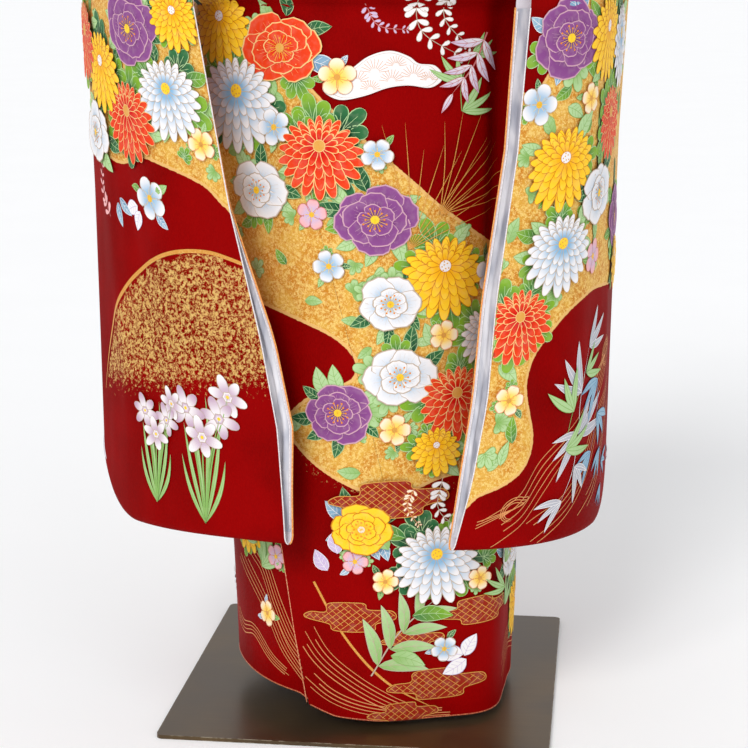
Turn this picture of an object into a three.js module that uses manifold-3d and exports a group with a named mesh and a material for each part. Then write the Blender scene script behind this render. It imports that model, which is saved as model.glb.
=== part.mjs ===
// Furisode, a long-sleeved kimono, dressed on a limbless form that stands on a square plate.
// Millimetres, +Z up, origin at the middle of the plate's underside. The garment's front faces -Y,
// so the wearer's left is at +X. The left front laps over the right front.
import * as THREE from "three";
import { mergeVertices } from "three/addons/utils/BufferGeometryUtils.js";
import Module from "manifold-3d";

const wasm = await Module();
wasm.setup();

// ---------- driving dimensions ----------
const CLOTH = 1.6;                 // wall of the body, overlap and sleeve cloth
const LINING_WALL = 1.0;           // wall of the sleeve lining
const LINING_LIFT = 0.5;           // the lining lies this far off the sleeve's inside
const COLLAR_WALL = 2.6;           // the collar is folded double
const COLLAR_LIFT = 0.9;           // the collar lies this far off the cloth under it
const BACK_COLLAR_LIFT = 2.5;      // and this much further behind the neck
const SEAM_GAP = 0.3;              // pieces that are sewn together lie this far apart
const UNDER_INSET = 8;             // depth of the right front under the left front
const OKUMI_TURN = 47;             // degrees of the skirt that one 150 mm overlap panel covers

const PLATE_SIDE = 480;
const PLATE_THICK = 5;
const PLATE_CORNER = 8;
const POLE_RADIUS = 16;
const FLANGE_RADIUS = 55;
const FLANGE_HEIGHT = 10;

const CHEST_Z = 1110;              // where the armholes start
const NECK_X = 75;                 // half width of the neck at the shoulder line
const NECK_Z = 1345;               // the shoulder line beside the neck
const SHOULDER_X = 215;            // half width of the body cloth at the sleeve seam
const SHOULDER_FALL = 0.33;        // slope of the shoulder line
const ARMHOLE_TURN = 36;           // degrees that the armhole opens to the back at its foot
const NECK_DROP = 0.7;             // share of the chest-to-shoulder rise left under the back neckline
const NECK_ROUND = 0.6;            // power of the neckline's curve round the neck

const SLEEVE_TOP_FALL = 60;        // how far the sleeve's top fold falls from seam to cuff
const SLEEVE_CORNER = 95;          // radius of the sleeve's outer bottom corner
const HOLLOW_REACH = 40;           // how far the hollow's cutter runs out of the inner edge
const CUFF_ROWS = 4;               // the cuff is open over this many of the sleeve's upper rows
const LINING_FLOOR = 10;           // the lining ends this far above the sleeve's bottom

const SASH_BOTTOM = 985;
const SASH_TOP = 1045;
const SASH_WALL = 3;

// The body cloth's level sections: half width, depth to the front and to the back, and the turns in
// degrees from the middle of the front (positive to +X) of the panels' edges: the left front's free
// edge, the left side seam, the seam in the middle of the back, the right side seam and the right
// front's edge, which lies under the left front.
const BODY_ROWS = [
  { z: 15, half: 181, front: 190, back: 172, free: -19, left: 98, rear: 186, right: 276, under: 37 },
  { z: 120, half: 184, front: 189, back: 172, free: -25, left: 94, rear: 185, right: 275, under: 37 },
  { z: 225, half: 187, front: 188, back: 172, free: -30, left: 90, rear: 184, right: 274, under: 37 },
  { z: 340, half: 189, front: 186, back: 171, free: -38, left: 84, rear: 183, right: 273, under: 37 },
  { z: 450, half: 190, front: 184, back: 170, free: -46, left: 78, rear: 182, right: 272, under: 38 },
  { z: 650, half: 194, front: 178, back: 165, free: -62, left: 70, rear: 181, right: 271, under: 40 },
  { z: 880, half: 196, front: 168, back: 158, free: -72, left: 66, rear: 180, right: 270, under: 40 },
  { z: 890, half: 205, front: 177, back: 167, free: -72, left: 66, rear: 180, right: 270, under: 40 },
  { z: 950, half: 200, front: 168, back: 158, free: -66, left: 67, rear: 180, right: 270, under: 40 },
  { z: 980, half: 186, front: 150, back: 140, free: -60, left: 68, rear: 180, right: 270, under: 40 },
  { z: 1012, half: 184, front: 146, back: 136, free: -53, left: 68, rear: 180, right: 278, under: 35 },
  { z: 1045, half: 182, front: 142, back: 132, free: -45, left: 68, rear: 180, right: 286, under: 30 },
  { z: 1067, half: 186, front: 141, back: 131, free: -35, left: 68, rear: 180, right: 288, under: 25 },
  { z: 1088, half: 191, front: 139, back: 130, free: -25, left: 68, rear: 180, right: 290, under: 20 },
  { z: CHEST_Z, half: 196, front: 138, back: 130, free: -15, left: 68, rear: 180, right: 292, under: 15 },
];
const WAIST_Z = 980;
const TOP_OKUMI_TURN = 3;          // the overlap panel runs out to this at the chest
const UNDER_START_TURN = 6;        // the right front is fully under this far before the free edge
const UNDER_LEAST_TURN = 10;       // it takes at least this turn to get there
const SEAM_TURN = 0.05;            // half the gap between sewn panels, as a turn of the body
const BODY_COLUMNS = 9;
const OKUMI_SHARES = [0, 0.25, 0.5, 0.75, 1];

// Hem heights by turn from the middle of the front: low in front, higher at the side and back.
const HEM_ROWS = [
  { turn: -60, z: 34 },
  { turn: -19, z: 29 },
  { turn: -8, z: 18 },
  { turn: 10, z: 14 },
  { turn: 60, z: 13 },
  { turn: 98, z: 22 },
  { turn: 150, z: 46 },
  { turn: 200, z: 52 },
  { turn: 420, z: 52 },
];

// Rows of one sleeve below its seam: the front layer's inner edge, the turn there from straight out,
// the outer edge and the turn there, the gap between the layers and how far the back layer shows.
const SLEEVE_LEFT_ROWS = [
  { z: 250, x: 123, y: -228, turn: 16, outX: 298, outY: 25, outTurn: 88, gap: 12, reveal: 4 },
  { z: 330, x: 143, y: -222, turn: 18, outX: 299, outY: 30, outTurn: 88, gap: 15, reveal: 12 },
  { z: 430, x: 160, y: -215, turn: 20, outX: 300, outY: 40, outTurn: 88, gap: 17, reveal: 14 },
  { z: 545, x: 168, y: -208, turn: 22, outX: 302, outY: 50, outTurn: 86, gap: 18, reveal: 12 },
  { z: 720, x: 190, y: -202, turn: 24, outX: 312, outY: 66, outTurn: 82, gap: 20, reveal: 9 },
  { z: 885, x: 202, y: -192, turn: 24, outX: 326, outY: 84, outTurn: 78, gap: 24, reveal: 10 },
];
const SLEEVE_RIGHT_ROWS = [
  { z: 250, x: 79, y: -228, turn: 20, outX: 345, outY: -50, outTurn: 58, gap: 12, reveal: 4 },
  { z: 310, x: 83, y: -222, turn: 20, outX: 347, outY: -46, outTurn: 58, gap: 14, reveal: 6 },
  { z: 390, x: 89, y: -218, turn: 20, outX: 349, outY: -40, outTurn: 58, gap: 16, reveal: 12 },
  { z: 495, x: 108, y: -213, turn: 20, outX: 352, outY: -30, outTurn: 60, gap: 17, reveal: 11 },
  { z: 655, x: 149, y: -198, turn: 22, outX: 358, outY: -10, outTurn: 62, gap: 18, reveal: 6 },
  { z: 885, x: 191, y: -186, turn: 24, outX: 372, outY: 24, outTurn: 66, gap: 22, reveal: 3 },
];
const SLEEVE_TOP_OUTER = { x: 430, y: 150, turn: 62 };   // the cuff end of the top fold
const UPPER_STEPS = [0, 0.2, 0.4, 0.6, 0.8, 0.93, 1];    // rows from the armhole's foot to the top
const TOP_FOLD_SPREAD = 13;        // half the sleeve's thickness at the top fold
const OUTER_GAP = 0.75;            // share of the gap between the layers left at the outer edge
const CURVE_REACH = 0.42;          // how far the plan curves run straight, as a share of their chord
const SLEEVE_TOP_TURN = 4;         // the top fold starts nearly straight out
const OUTER_START = 0.35;          // share of the way to the cuff that the row at the armhole's foot is
const CORNER_ROWS = 3;             // the round corner fades out over this many rows
const BOTTOM_FALL = 14;            // the bottom edge falls this far towards the outer corner
const ROW_STEP = 6;                // rows above the corner stay at least this far apart
const TOP_FOLD_WALL = 3;           // the wall over the hollow at the top fold
const CUFF_REACH = 1.1;            // the hollow's cutter runs out of the cuff to this share
const TOP_FOLD_CLEAR = 2.4;        // more room beside the shoulder line
const TOP_CLEAR_FROM = 0.6;        // the rise where that room starts
const TOP_CLEAR_TO = 0.93;         // and where it is full
const BACK_CLEAR = 1.5;            // and beside the armhole's back edge
const ARMHOLE_CLEAR = 0.7;         // the sleeve starts this far outside the body's side edge

// The form's level sections, and the neck's profile above them.
const TORSO_ROWS = [
  { z: 760, half: 118, depth: 88 },
  { z: 800, half: 148, depth: 110 },
  { z: 880, half: 160, depth: 118 },
  { z: 1000, half: 132, depth: 98 },
  { z: 1090, half: 142, depth: 100 },
  { z: 1180, half: 164, depth: 97 },
  { z: 1260, half: 180, depth: 72 },
];
const TORSO_RIDGE_ROWS = [
  { z: 1308, depth: 34 },
  { z: 1320, depth: 27 },
  { z: 1332, depth: 19 },
  { z: 1341, depth: 10 },
];
const TORSO_RIDGE_CLEAR = 2.0;     // sideways room under the shoulder cloth
const NECK_ROWS = [
  { z: 1310, radius: 0 },
  { z: 1310, radius: 50 },
  { z: 1350, radius: 50 },
  { z: 1395, radius: 47 },
  { z: 1450, radius: 50 },
  { z: 1472, radius: 44 },
  { z: 1482, radius: 26 },
  { z: 1484, radius: 0 },
];
const BAR_RADIUS = 5;
const BAR_DROP = 2;                // the bar's middle lies this far under the row it follows
const BAR_START_X = 179.8;
const BAR_START_Y = -8;
const BAR_LEVEL = 14;              // the bar leaves the form level for this far
const BAR_SHARES = [0.18, 0.4, 0.6, 0.8, 0.94];          // shares of the sleeve's width it passes

// ---------- materials ----------
const red = new THREE.MeshStandardMaterial({ color: 0xa3040a, roughness: 0.5 });
const pale = new THREE.MeshStandardMaterial({ color: 0xd8d6de, roughness: 0.5 });
const gold = new THREE.MeshStandardMaterial({ color: 0xc89646, roughness: 0.5 });
const linen = new THREE.MeshStandardMaterial({ color: 0xd9cdb8, roughness: 0.8 });
const steel = new THREE.MeshStandardMaterial({ color: 0x5f5544, roughness: 0.35, metalness: 0.8 });

const group = new THREE.Group();

// ---------- small helpers ----------
const radians = THREE.MathUtils.degToRad;
const lerp = THREE.MathUtils.lerp;
const vec = (x, y, z) => new THREE.Vector3(x, y, z);

function place(name, geometry, material) {
  const mesh = new THREE.Mesh(geometry, material);
  mesh.name = name;
  group.add(mesh);
}

// A value of a table's column at a height or turn, straight between its rows.
function readTable(rows, key, at, column) {
  const last = rows.length - 1;
  if (at <= rows[0][key]) return rows[0][column];
  if (at >= rows[last][key]) return rows[last][column];
  const next = rows.findIndex((row) => row[key] > at);
  const low = rows[next - 1];
  const high = rows[next];
  return lerp(low[column], high[column], (at - low[key]) / (high[key] - low[key]));
}

// One closed geometry from a list of points and a list of triangles.
function closedGeometry(points, triangles) {
  const geometry = new THREE.BufferGeometry();
  const flat = points.flatMap((point) => [point.x, point.y, point.z]);
  geometry.setAttribute("position", new THREE.Float32BufferAttribute(flat, 3));
  geometry.setIndex(triangles);
  return geometry;
}

function signedVolume(geometry) {
  const position = geometry.getAttribute("position");
  const index = geometry.getIndex();
  const [a, b, c] = [vec(0, 0, 0), vec(0, 0, 0), vec(0, 0, 0)];
  let volume = 0;
  for (let i = 0; i < index.count; i += 3) {
    a.fromBufferAttribute(position, index.getX(i));
    b.fromBufferAttribute(position, index.getX(i + 1));
    c.fromBufferAttribute(position, index.getX(i + 2));
    volume += a.dot(b.cross(c)) / 6;
  }
  return volume;
}

// The two triangles of a quad, split along its shorter diagonal. Lengths within 5 percent count as
// equal, so that both faces of a wall are split alike.
function shorterDiagonal(points, a, b, c, d) {
  const rising = points[a].distanceTo(points[c]);
  const falling = points[b].distanceTo(points[d]);
  return falling < 0.95 * rising ? [[a, b, d], [b, c, d]] : [[a, b, c], [a, c, d]];
}

// A closed solid between two grids of points of the same size, its faces turned out.
function slab(face, back) {
  const rows = face.length;
  const columns = face[0].length;
  const count = rows * columns;
  const points = [...face.flat(), ...back.flat()];
  const triangles = [];
  const quad = (a, b, c, d) => triangles.push(a, b, c, a, c, d);
  const at = (row, column) => row * columns + column;
  for (let row = 0; row < rows - 1; row += 1) {
    for (let column = 0; column < columns - 1; column += 1) {
      const [a, b] = [at(row, column), at(row, column + 1)];
      const [d, c] = [at(row + 1, column), at(row + 1, column + 1)];
      const [first, second] = shorterDiagonal(points, a, b, c, d);
      triangles.push(...first, ...second);
      triangles.push(...[...first, ...second].map((corner) => count + corner).reverse());
    }
  }
  const rim = [];
  for (let column = 0; column < columns - 1; column += 1) rim.push(at(0, column));
  for (let row = 0; row < rows - 1; row += 1) rim.push(at(row, columns - 1));
  for (let column = columns - 1; column > 0; column -= 1) rim.push(at(rows - 1, column));
  for (let row = rows - 1; row > 0; row -= 1) rim.push(at(row, 0));
  rim.forEach((from, i) => {
    const to = rim[(i + 1) % rim.length];
    quad(from, count + from, count + to, to);
  });
  const geometry = closedGeometry(points, triangles);
  if (signedVolume(geometry) < 0) {
    const index = geometry.getIndex();
    for (let i = 0; i < index.count; i += 3) {
      const kept = index.getX(i);
      index.setX(i, index.getX(i + 1));
      index.setX(i + 1, kept);
    }
  }
  return geometry;
}

function toManifold(geometry) {
  const bare = geometry.clone();
  bare.deleteAttribute("normal");
  bare.deleteAttribute("uv");
  const merged = mergeVertices(bare);
  return new wasm.Manifold(new wasm.Mesh({
    numProp: 3,
    vertProperties: new Float32Array(merged.getAttribute("position").array),
    triVerts: new Uint32Array(merged.getIndex().array),
  }));
}

function fromManifold(solid) {
  const mesh = solid.getMesh();
  const geometry = new THREE.BufferGeometry();
  geometry.setAttribute("position", new THREE.Float32BufferAttribute(mesh.vertProperties, 3));
  geometry.setIndex(Array.from(mesh.triVerts));
  return geometry;
}

// ---------- body cloth ----------
// A point on the body's level section: turn in degrees from the middle of the front, towards +X.
function bodyPoint(turn, z, inset = 0) {
  const angle = radians(turn);
  const half = readTable(BODY_ROWS, "z", z, "half") - inset;
  const depth = readTable(BODY_ROWS, "z", z, Math.cos(angle) > 0 ? "front" : "back") - inset;
  return vec(half * Math.sin(angle), -depth * Math.cos(angle), z);
}

// How far the right front has gone under the left front, for turns from the right side seam on.
function underInset(turn, z) {
  const start = readTable(BODY_ROWS, "z", z, "right") - 360;
  const end = readTable(BODY_ROWS, "z", z, "free") - UNDER_START_TURN;
  return UNDER_INSET * THREE.MathUtils.smoothstep(turn, start, Math.max(end, start + UNDER_LEAST_TURN));
}

// Rows of heights from the hem to the chest at one turn. The lowest follows the hem.
const SKIRT_HEIGHTS = BODY_ROWS.map((row) => row.z);
const CHEST_INDEX = SKIRT_HEIGHTS.length - 1;
function skirtHeight(index, turn) {
  if (index > 0) return SKIRT_HEIGHTS[index];
  return readTable(HEM_ROWS, "turn", turn, "z");
}

function okumiTurn(z) {
  return lerp(OKUMI_TURN, TOP_OKUMI_TURN, THREE.MathUtils.smoothstep(z, WAIST_Z, CHEST_Z));
}

const shoulderZ = (x) => NECK_Z - (Math.abs(x) - NECK_X) * SHOULDER_FALL;

// From a chest point to the shoulder line: rise 0 is the chest and 1 the shoulder line.
function shoulderPoint(chest, ridgeX, rise, depth, across = rise) {
  const angle = radians(90 * rise);
  return vec(
    lerp(chest.x, ridgeX, across),
    chest.y * Math.cos(angle),
    chest.z + (shoulderZ(ridgeX) - depth - chest.z) * Math.sin(angle),
  );
}

// The turns of a front's side and middle edges at a height.
function frontTurns(side, z) {
  const read = (column) => readTable(BODY_ROWS, "z", z, column);
  if (side === "left") {
    return { edge: read("left") - SEAM_TURN, middle: read("free") + okumiTurn(z) + SEAM_TURN };
  }
  return {
    edge: read("right") - 360 + SEAM_TURN,
    middle: read("under") - okumiTurn(z) - SEAM_TURN,
  };
}

// The same for a back, whose side edge opens away from the front's towards the armhole.
function backTurns(side, z) {
  const read = (column) => readTable(BODY_ROWS, "z", z, column);
  const open = ARMHOLE_TURN * THREE.MathUtils.smoothstep(z, SASH_TOP, CHEST_Z) + SEAM_TURN;
  if (side === "left") {
    return { edge: read("left") + open, middle: read("rear") - SEAM_TURN };
  }
  return { edge: read("right") - open, middle: read("rear") + SEAM_TURN };
}

// Points of a body length. Share 0 is its side edge and 1 its middle edge; depth goes into the wall.
function frontPoint(side, share, index, depth) {
  const height = SKIRT_HEIGHTS[index];
  const turns = frontTurns(side, height);
  const turn = lerp(turns.edge, turns.middle, share);
  const inset = side === "left" ? 0 : underInset(turn, height);
  return bodyPoint(turn, skirtHeight(index, turn), depth + inset);
}

function backPoint(side, share, index, depth) {
  const turns = backTurns(side, SKIRT_HEIGHTS[index]);
  const turn = lerp(turns.edge, turns.middle, share);
  return bodyPoint(turn, skirtHeight(index, turn), depth);
}

const ridgeX = (side, share) => (side === "left" ? 1 : -1) * lerp(SHOULDER_X, NECK_X, share);

function frontShoulder(side, share, rise, depth) {
  const chest = frontPoint(side, share, CHEST_INDEX, depth);
  return shoulderPoint(chest, ridgeX(side, share), rise, depth);
}

// The back's middle edge swings round the neck before it runs down the middle of the back.
function backShoulder(side, share, rise, depth) {
  const chest = backPoint(side, share, CHEST_INDEX, depth);
  const nearNeck = THREE.MathUtils.clamp((rise - NECK_DROP) / (1 - NECK_DROP), 0, 1) ** NECK_ROUND;
  return shoulderPoint(chest, ridgeX(side, share), rise, depth, lerp(rise, nearNeck, share));
}

// One body length, front and back in one piece: rows run from the front hem over the shoulder to
// the back hem, and columns from the side edge to the middle edge.
const FRONT_RISES = [0.2, 0.4, 0.6, 0.8, 0.93, 1];
const BACK_RISES = [0.93, 0.85, 0.7, 0.5, 0.25];
function bodyLength(side, depth) {
  const shares = [...Array(BODY_COLUMNS).keys()].map((column) => column / (BODY_COLUMNS - 1));
  const levels = [...SKIRT_HEIGHTS.keys()];
  const row = (pointAt, level) => shares.map((share) => pointAt(side, share, level, depth));
  return [
    ...levels.map((index) => row(frontPoint, index)),
    ...FRONT_RISES.map((rise) => row(frontShoulder, rise)),
    ...BACK_RISES.map((rise) => row(backShoulder, rise)),
    ...levels.reverse().map((index) => row(backPoint, index)),
  ];
}

// The overlap panel between its free edge and its seam with the front.
function okumi(side, depth) {
  const isLeft = side === "left";
  return SKIRT_HEIGHTS.map((height, index) => {
    const free = readTable(BODY_ROWS, "z", height, isLeft ? "free" : "under");
    const seam = free + (okumiTurn(height) - SEAM_TURN) * (isLeft ? 1 : -1);
    return OKUMI_SHARES.map((share) => {
      const turn = lerp(free, seam, share);
      const z = skirtHeight(index, isLeft ? turn : turn + 360);
      return bodyPoint(turn, z, depth + (isLeft ? 0 : UNDER_INSET));
    });
  });
}

// The collar, a band over the neck edge of both fronts and of the backs, from sash to sash.
const COLLAR_HEIGHTS = [1012, SASH_TOP, 1067, 1088, CHEST_Z];
const COLLAR_TURN = 15;            // degrees of the chest that the band covers
const COLLAR_SHARES = [0, 0.5, 1];
const COLLAR_CHEST_SHARE = 0.18;   // share of a front's width that the band covers at the chest
const COLLAR_TOP_SHARE = 0.36;     // and at the shoulder line
const COLLAR_BACK_FOOT = 0.5;      // rise of the band's lower edge behind the neck
const COLLAR_BACK = [
  { rise: 0.93, outerShare: 0.66, outerRise: 0.88 },
  { rise: 0.85, outerShare: 0.72, outerRise: 0.76 },
  { rise: 0.77, outerShare: 0.84, outerRise: 0.63 },
];
function collarSide(side, depth) {
  const isLeft = side === "left";
  const sign = isLeft ? 1 : -1;
  const inset = isLeft ? 0 : UNDER_INSET;
  const low = COLLAR_HEIGHTS.map((z) => COLLAR_SHARES.map((share) => {
    const free = readTable(BODY_ROWS, "z", z, isLeft ? "free" : "under");
    return bodyPoint(free + sign * COLLAR_TURN * share, z, depth + inset);
  }));
  const front = FRONT_RISES.map((rise) => COLLAR_SHARES.map((share) => (
    frontShoulder(side, 1 - share * lerp(COLLAR_CHEST_SHARE, COLLAR_TOP_SHARE, rise), rise, depth)
  )));
  const back = COLLAR_BACK.map((row) => COLLAR_SHARES.map((share) => (
    backShoulder(
      side,
      lerp(1, row.outerShare, share),
      lerp(row.rise, row.outerRise, share),
      depth - BACK_COLLAR_LIFT,
    )
  )));
  return [...low, ...front, ...back];
}

function collar(depth) {
  const middle = COLLAR_SHARES.map((share) => {
    const rise = lerp(NECK_DROP, COLLAR_BACK_FOOT, share);
    const point = backShoulder("left", 1, rise, depth - BACK_COLLAR_LIFT);
    return vec(0, point.y, point.z);
  });
  return [...collarSide("left", depth), middle, ...collarSide("right", depth).reverse()];
}

// A closed solid through level loops of points, capped at both ends.
function drum(loops) {
  const count = loops[0].length;
  const points = loops.flat();
  const triangles = [];
  loops.slice(1).forEach((_, level) => {
    for (let i = 0; i < count; i += 1) {
      const [a, b] = [level * count + i, level * count + ((i + 1) % count)];
      triangles.push(a, b, b + count, a, b + count, a + count);
    }
  });
  const cap = (level, flip) => {
    const start = level * count;
    for (let i = 1; i < count - 1; i += 1) {
      if (flip) triangles.push(start, start + i + 1, start + i);
      else triangles.push(start, start + i, start + i + 1);
    }
  };
  cap(0, true);
  cap(loops.length - 1, false);
  return closedGeometry(points, triangles);
}

const SASH_SIDES = 48;
const SASH_CUT = 4;                // how far the sash's hollow is cut past its edges
function sash() {
  const loop = (z, level, depth) => [...Array(SASH_SIDES).keys()].map((i) => {
    const point = bodyPoint((i * 360) / SASH_SIDES, z, -depth);
    return vec(point.x, point.y, level);
  });
  const inside = COLLAR_LIFT + COLLAR_WALL + 2 * SEAM_GAP;
  const outside = inside + SASH_WALL;
  const band = drum([loop(SASH_BOTTOM, SASH_BOTTOM, outside), loop(SASH_TOP, SASH_TOP, outside)]);
  const hollow = drum([
    loop(SASH_BOTTOM - SASH_CUT, SASH_BOTTOM - SASH_CUT, inside),
    loop(SASH_TOP, SASH_TOP, inside),
    loop(SASH_TOP + SASH_CUT, SASH_TOP + SASH_CUT, inside),
  ]);
  return fromManifold(toManifold(band).subtract(toManifold(hollow)));
}

// ---------- the form, its sleeve bars, pole and plate ----------
const TORSO_SIDES = 36;
const POLE_SIDES = 32;
function torso() {
  const loop = ({ z, half, depth }) => [...Array(TORSO_SIDES).keys()].map((i) => {
    const angle = (i * 2 * Math.PI) / TORSO_SIDES;
    return vec(half * Math.cos(angle), depth * Math.sin(angle), z);
  });
  const underCloth = (z) => NECK_X + (NECK_Z - CLOTH - z) / SHOULDER_FALL - TORSO_RIDGE_CLEAR;
  const ridge = TORSO_RIDGE_ROWS.map(({ z, depth }) => ({ z, half: underCloth(z), depth }));
  const neck = new THREE.LatheGeometry(
    NECK_ROWS.map(({ z, radius }) => new THREE.Vector2(radius, z)),
    TORSO_SIDES,
  );
  neck.rotateX(Math.PI / 2);
  const trunk = toManifold(drum([...TORSO_ROWS, ...ridge].map(loop)));
  return fromManifold(trunk.add(toManifold(neck)));
}

function pole() {
  const foot = PLATE_THICK + SEAM_GAP;
  const top = TORSO_ROWS[0].z - SEAM_GAP;
  const profile = [
    [0, foot], [FLANGE_RADIUS, foot], [FLANGE_RADIUS, foot + FLANGE_HEIGHT],
    [POLE_RADIUS, foot + FLANGE_HEIGHT], [POLE_RADIUS, top], [0, top],
  ];
  const outline = profile.map(([radius, z]) => new THREE.Vector2(radius, z));
  const geometry = new THREE.LatheGeometry(outline, POLE_SIDES);
  return geometry.rotateX(Math.PI / 2);
}

function basePlate() {
  const reach = PLATE_SIDE / 2;
  const straight = reach - PLATE_CORNER;
  const outline = new THREE.Shape();
  outline.absarc(straight, straight, PLATE_CORNER, 0, Math.PI / 2);
  outline.absarc(-straight, straight, PLATE_CORNER, Math.PI / 2, Math.PI);
  outline.absarc(-straight, -straight, PLATE_CORNER, Math.PI, 1.5 * Math.PI);
  outline.absarc(straight, -straight, PLATE_CORNER, 1.5 * Math.PI, 2 * Math.PI);
  return new THREE.ExtrudeGeometry(outline, { depth: PLATE_THICK, bevelEnabled: false, curveSegments: 4 });
}

// A bar from the form's shoulder into the sleeve, along the middle of the sleeve's top fold.
function sleeveBar(rows) {
  const row = rows[rows.length - 3];
  const { front, back } = sleeveCurves(row);
  const inSleeve = BAR_SHARES.map((share) => {
    const middle = front.getPoint(share).add(back.getPoint(share)).multiplyScalar(0.5);
    return vec(middle.x, middle.y, row.z - row.fall * share - BAR_DROP);
  });
  const start = [BAR_START_X, BAR_START_X + BAR_LEVEL].map((x) => vec(x, BAR_START_Y, row.z - BAR_DROP));
  const path = new THREE.CatmullRomCurve3([...start, ...inSleeve]);
  const section = new THREE.Shape().absarc(0, 0, BAR_RADIUS, 0, 2 * Math.PI);
  const bar = new THREE.ExtrudeGeometry(section, {
    extrudePath: path,
    steps: 16,
    bevelEnabled: false,
    curveSegments: 8,
  });
  return fromManifold(toManifold(bar));
}

// ---------- sleeves ----------
const heading = (turn) => new THREE.Vector2(Math.cos(radians(turn)), Math.sin(radians(turn)));

// The front and back layers' plan curves at one row, for a sleeve on the +X side.
function sleeveCurves(row) {
  const start = new THREE.Vector2(row.x, row.y);
  const end = new THREE.Vector2(row.outX, row.outY);
  const reach = start.distanceTo(end) * CURVE_REACH;
  const [out, inwardEnd] = [heading(row.turn), heading(row.outTurn)];
  const curve = (from, to) => new THREE.CubicBezierCurve(
    from,
    from.clone().addScaledVector(out, reach),
    to.clone().addScaledVector(inwardEnd, -reach),
    to,
  );
  const inward = heading(row.turn + 90);
  const backStart = row.back
    ? new THREE.Vector2(row.back.x, row.back.y)
    : start.clone().addScaledVector(inward, row.gap).addScaledVector(out, -row.reveal);
  const backEnd = end.clone().addScaledVector(heading(row.outTurn + 90), row.gap * OUTER_GAP);
  return { front: curve(start, end), back: curve(backStart, backEnd) };
}

// A point of a plan curve, which may lie past either end along its direction there.
function alongCurve(curve, share) {
  const inside = THREE.MathUtils.clamp(share, 0, 1);
  const point = curve.getPoint(inside);
  if (share === inside) return point;
  return point.addScaledVector(curve.getTangent(inside), (share - inside) * curve.getLength());
}

// The rows of one sleeve, from the bottom to the top fold, on the +X side.
function sleeveRows(table, armhole) {
  const upper = UPPER_STEPS.map((step, i) => {
    const { front, back } = armhole[i];
    const low = table[table.length - 1];
    const share = Math.sin(radians(90 * step));
    const outShare = lerp(OUTER_START, 1, share);
    return {
      z: front.z,
      x: front.x,
      y: front.y,
      turn: lerp(low.turn, SLEEVE_TOP_TURN, share),
      outX: lerp(low.outX, SLEEVE_TOP_OUTER.x, outShare),
      outY: lerp(low.outY, SLEEVE_TOP_OUTER.y, outShare),
      outTurn: lerp(low.outTurn, SLEEVE_TOP_OUTER.turn, share),
      gap: lerp(low.gap, 2 * TOP_FOLD_SPREAD, share),
      fall: SLEEVE_TOP_FALL * share,
      back: { x: back.x, y: back.y },
    };
  });
  return [...table.map((row) => ({ ...row, fall: 0 })), ...upper];
}

const SLEEVE_SHARES = [0, 0.13, 0.28, 0.43, 0.58, 0.72, 0.84, 0.93, 1];

// The outer bottom corner is round: how far the bottom edge is lifted at a share of the width.
function cornerLift(share, width) {
  const into = (share - 1) * width + SLEEVE_CORNER;
  if (into <= 0) return 0;
  return SLEEVE_CORNER - Math.sqrt(Math.max(SLEEVE_CORNER ** 2 - into ** 2, 0));
}

// One layer's grid. Its columns are shares of the width, which may change from row to row.
function sleeveLayer(rows, layer, { inset = 0, shares = () => SLEEVE_SHARES, floor = 0 }) {
  return rows.map((row, i) => shares(i, sleeveCurves(row)[layer].getLength()).map((share) => {
    const curve = sleeveCurves(row)[layer];
    const width = curve.getLength();
    const plan = alongCurve(curve, share);
    const tangent = curve.getTangent(THREE.MathUtils.clamp(share, 0, 1));
    plan.x += -tangent.y * inset;
    plan.y += tangent.x * inset;
    const lift = cornerLift(Math.min(share, 1), width) * Math.max(0, 1 - i / CORNER_ROWS);
    const bottom = rows[0].z - BOTTOM_FALL * share + lift + floor;
    const drop = row.fall * Math.max(share, 0);
    const height = i === 0 ? bottom : Math.max(row.z - drop, bottom + ROW_STEP * i);
    return vec(plan.x, plan.y, height);
  }));
}

// The hollow between the layers runs out of the inner edge, and of the cuff in the upper rows.
function hollowReach(rows) {
  const cuffRow = rows.length - CUFF_ROWS;
  const end = (i, width) => (i >= cuffRow ? CUFF_REACH : 1 - (CLOTH * 1.5) / width);
  return {
    shares: (i, width) => [-HOLLOW_REACH / width, ...SLEEVE_SHARES.slice(0, -1), end(i, width)],
    floor: CLOTH,
  };
}

function sleeve(rows) {
  const outer = slab(sleeveLayer(rows, "front", {}), sleeveLayer(rows, "back", {}));
  const top = rows.length - 1;
  const hollowRows = rows.map((row, i) => ({ ...row, z: i === top ? row.z - TOP_FOLD_WALL : row.z }));
  const reach = hollowReach(rows);
  const hollow = slab(
    sleeveLayer(hollowRows, "front", { ...reach, inset: CLOTH }),
    sleeveLayer(hollowRows, "back", { ...reach, inset: -CLOTH }),
  );
  return fromManifold(toManifold(outer).subtract(toManifold(hollow)));
}

// The lining of the back layer, a strip along the open inner edge on the side that shows. It spans
// the hollow's first column inside that edge.
const LINING_START = 0.05;
function sleeveLining(rows, depth) {
  const low = rows.slice(0, rows.length - UPPER_STEPS.length);
  const reach = hollowReach(rows);
  const grid = sleeveLayer(low, "back", { ...reach, inset: -(CLOTH + depth), floor: LINING_FLOOR });
  return grid.map((row) => [row[1].clone().lerp(row[2], LINING_START), row[2]]);
}

function mirroredGeometry(geometry) {
  const copy = geometry.clone();
  const position = copy.getAttribute("position");
  const index = copy.getIndex();
  for (let i = 0; i < position.count; i += 1) position.setX(i, -position.getX(i));
  for (let i = 0; i < index.count; i += 3) {
    const kept = index.getX(i);
    index.setX(i, index.getX(i + 1));
    index.setX(i + 1, kept);
  }
  return copy;
}

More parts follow.
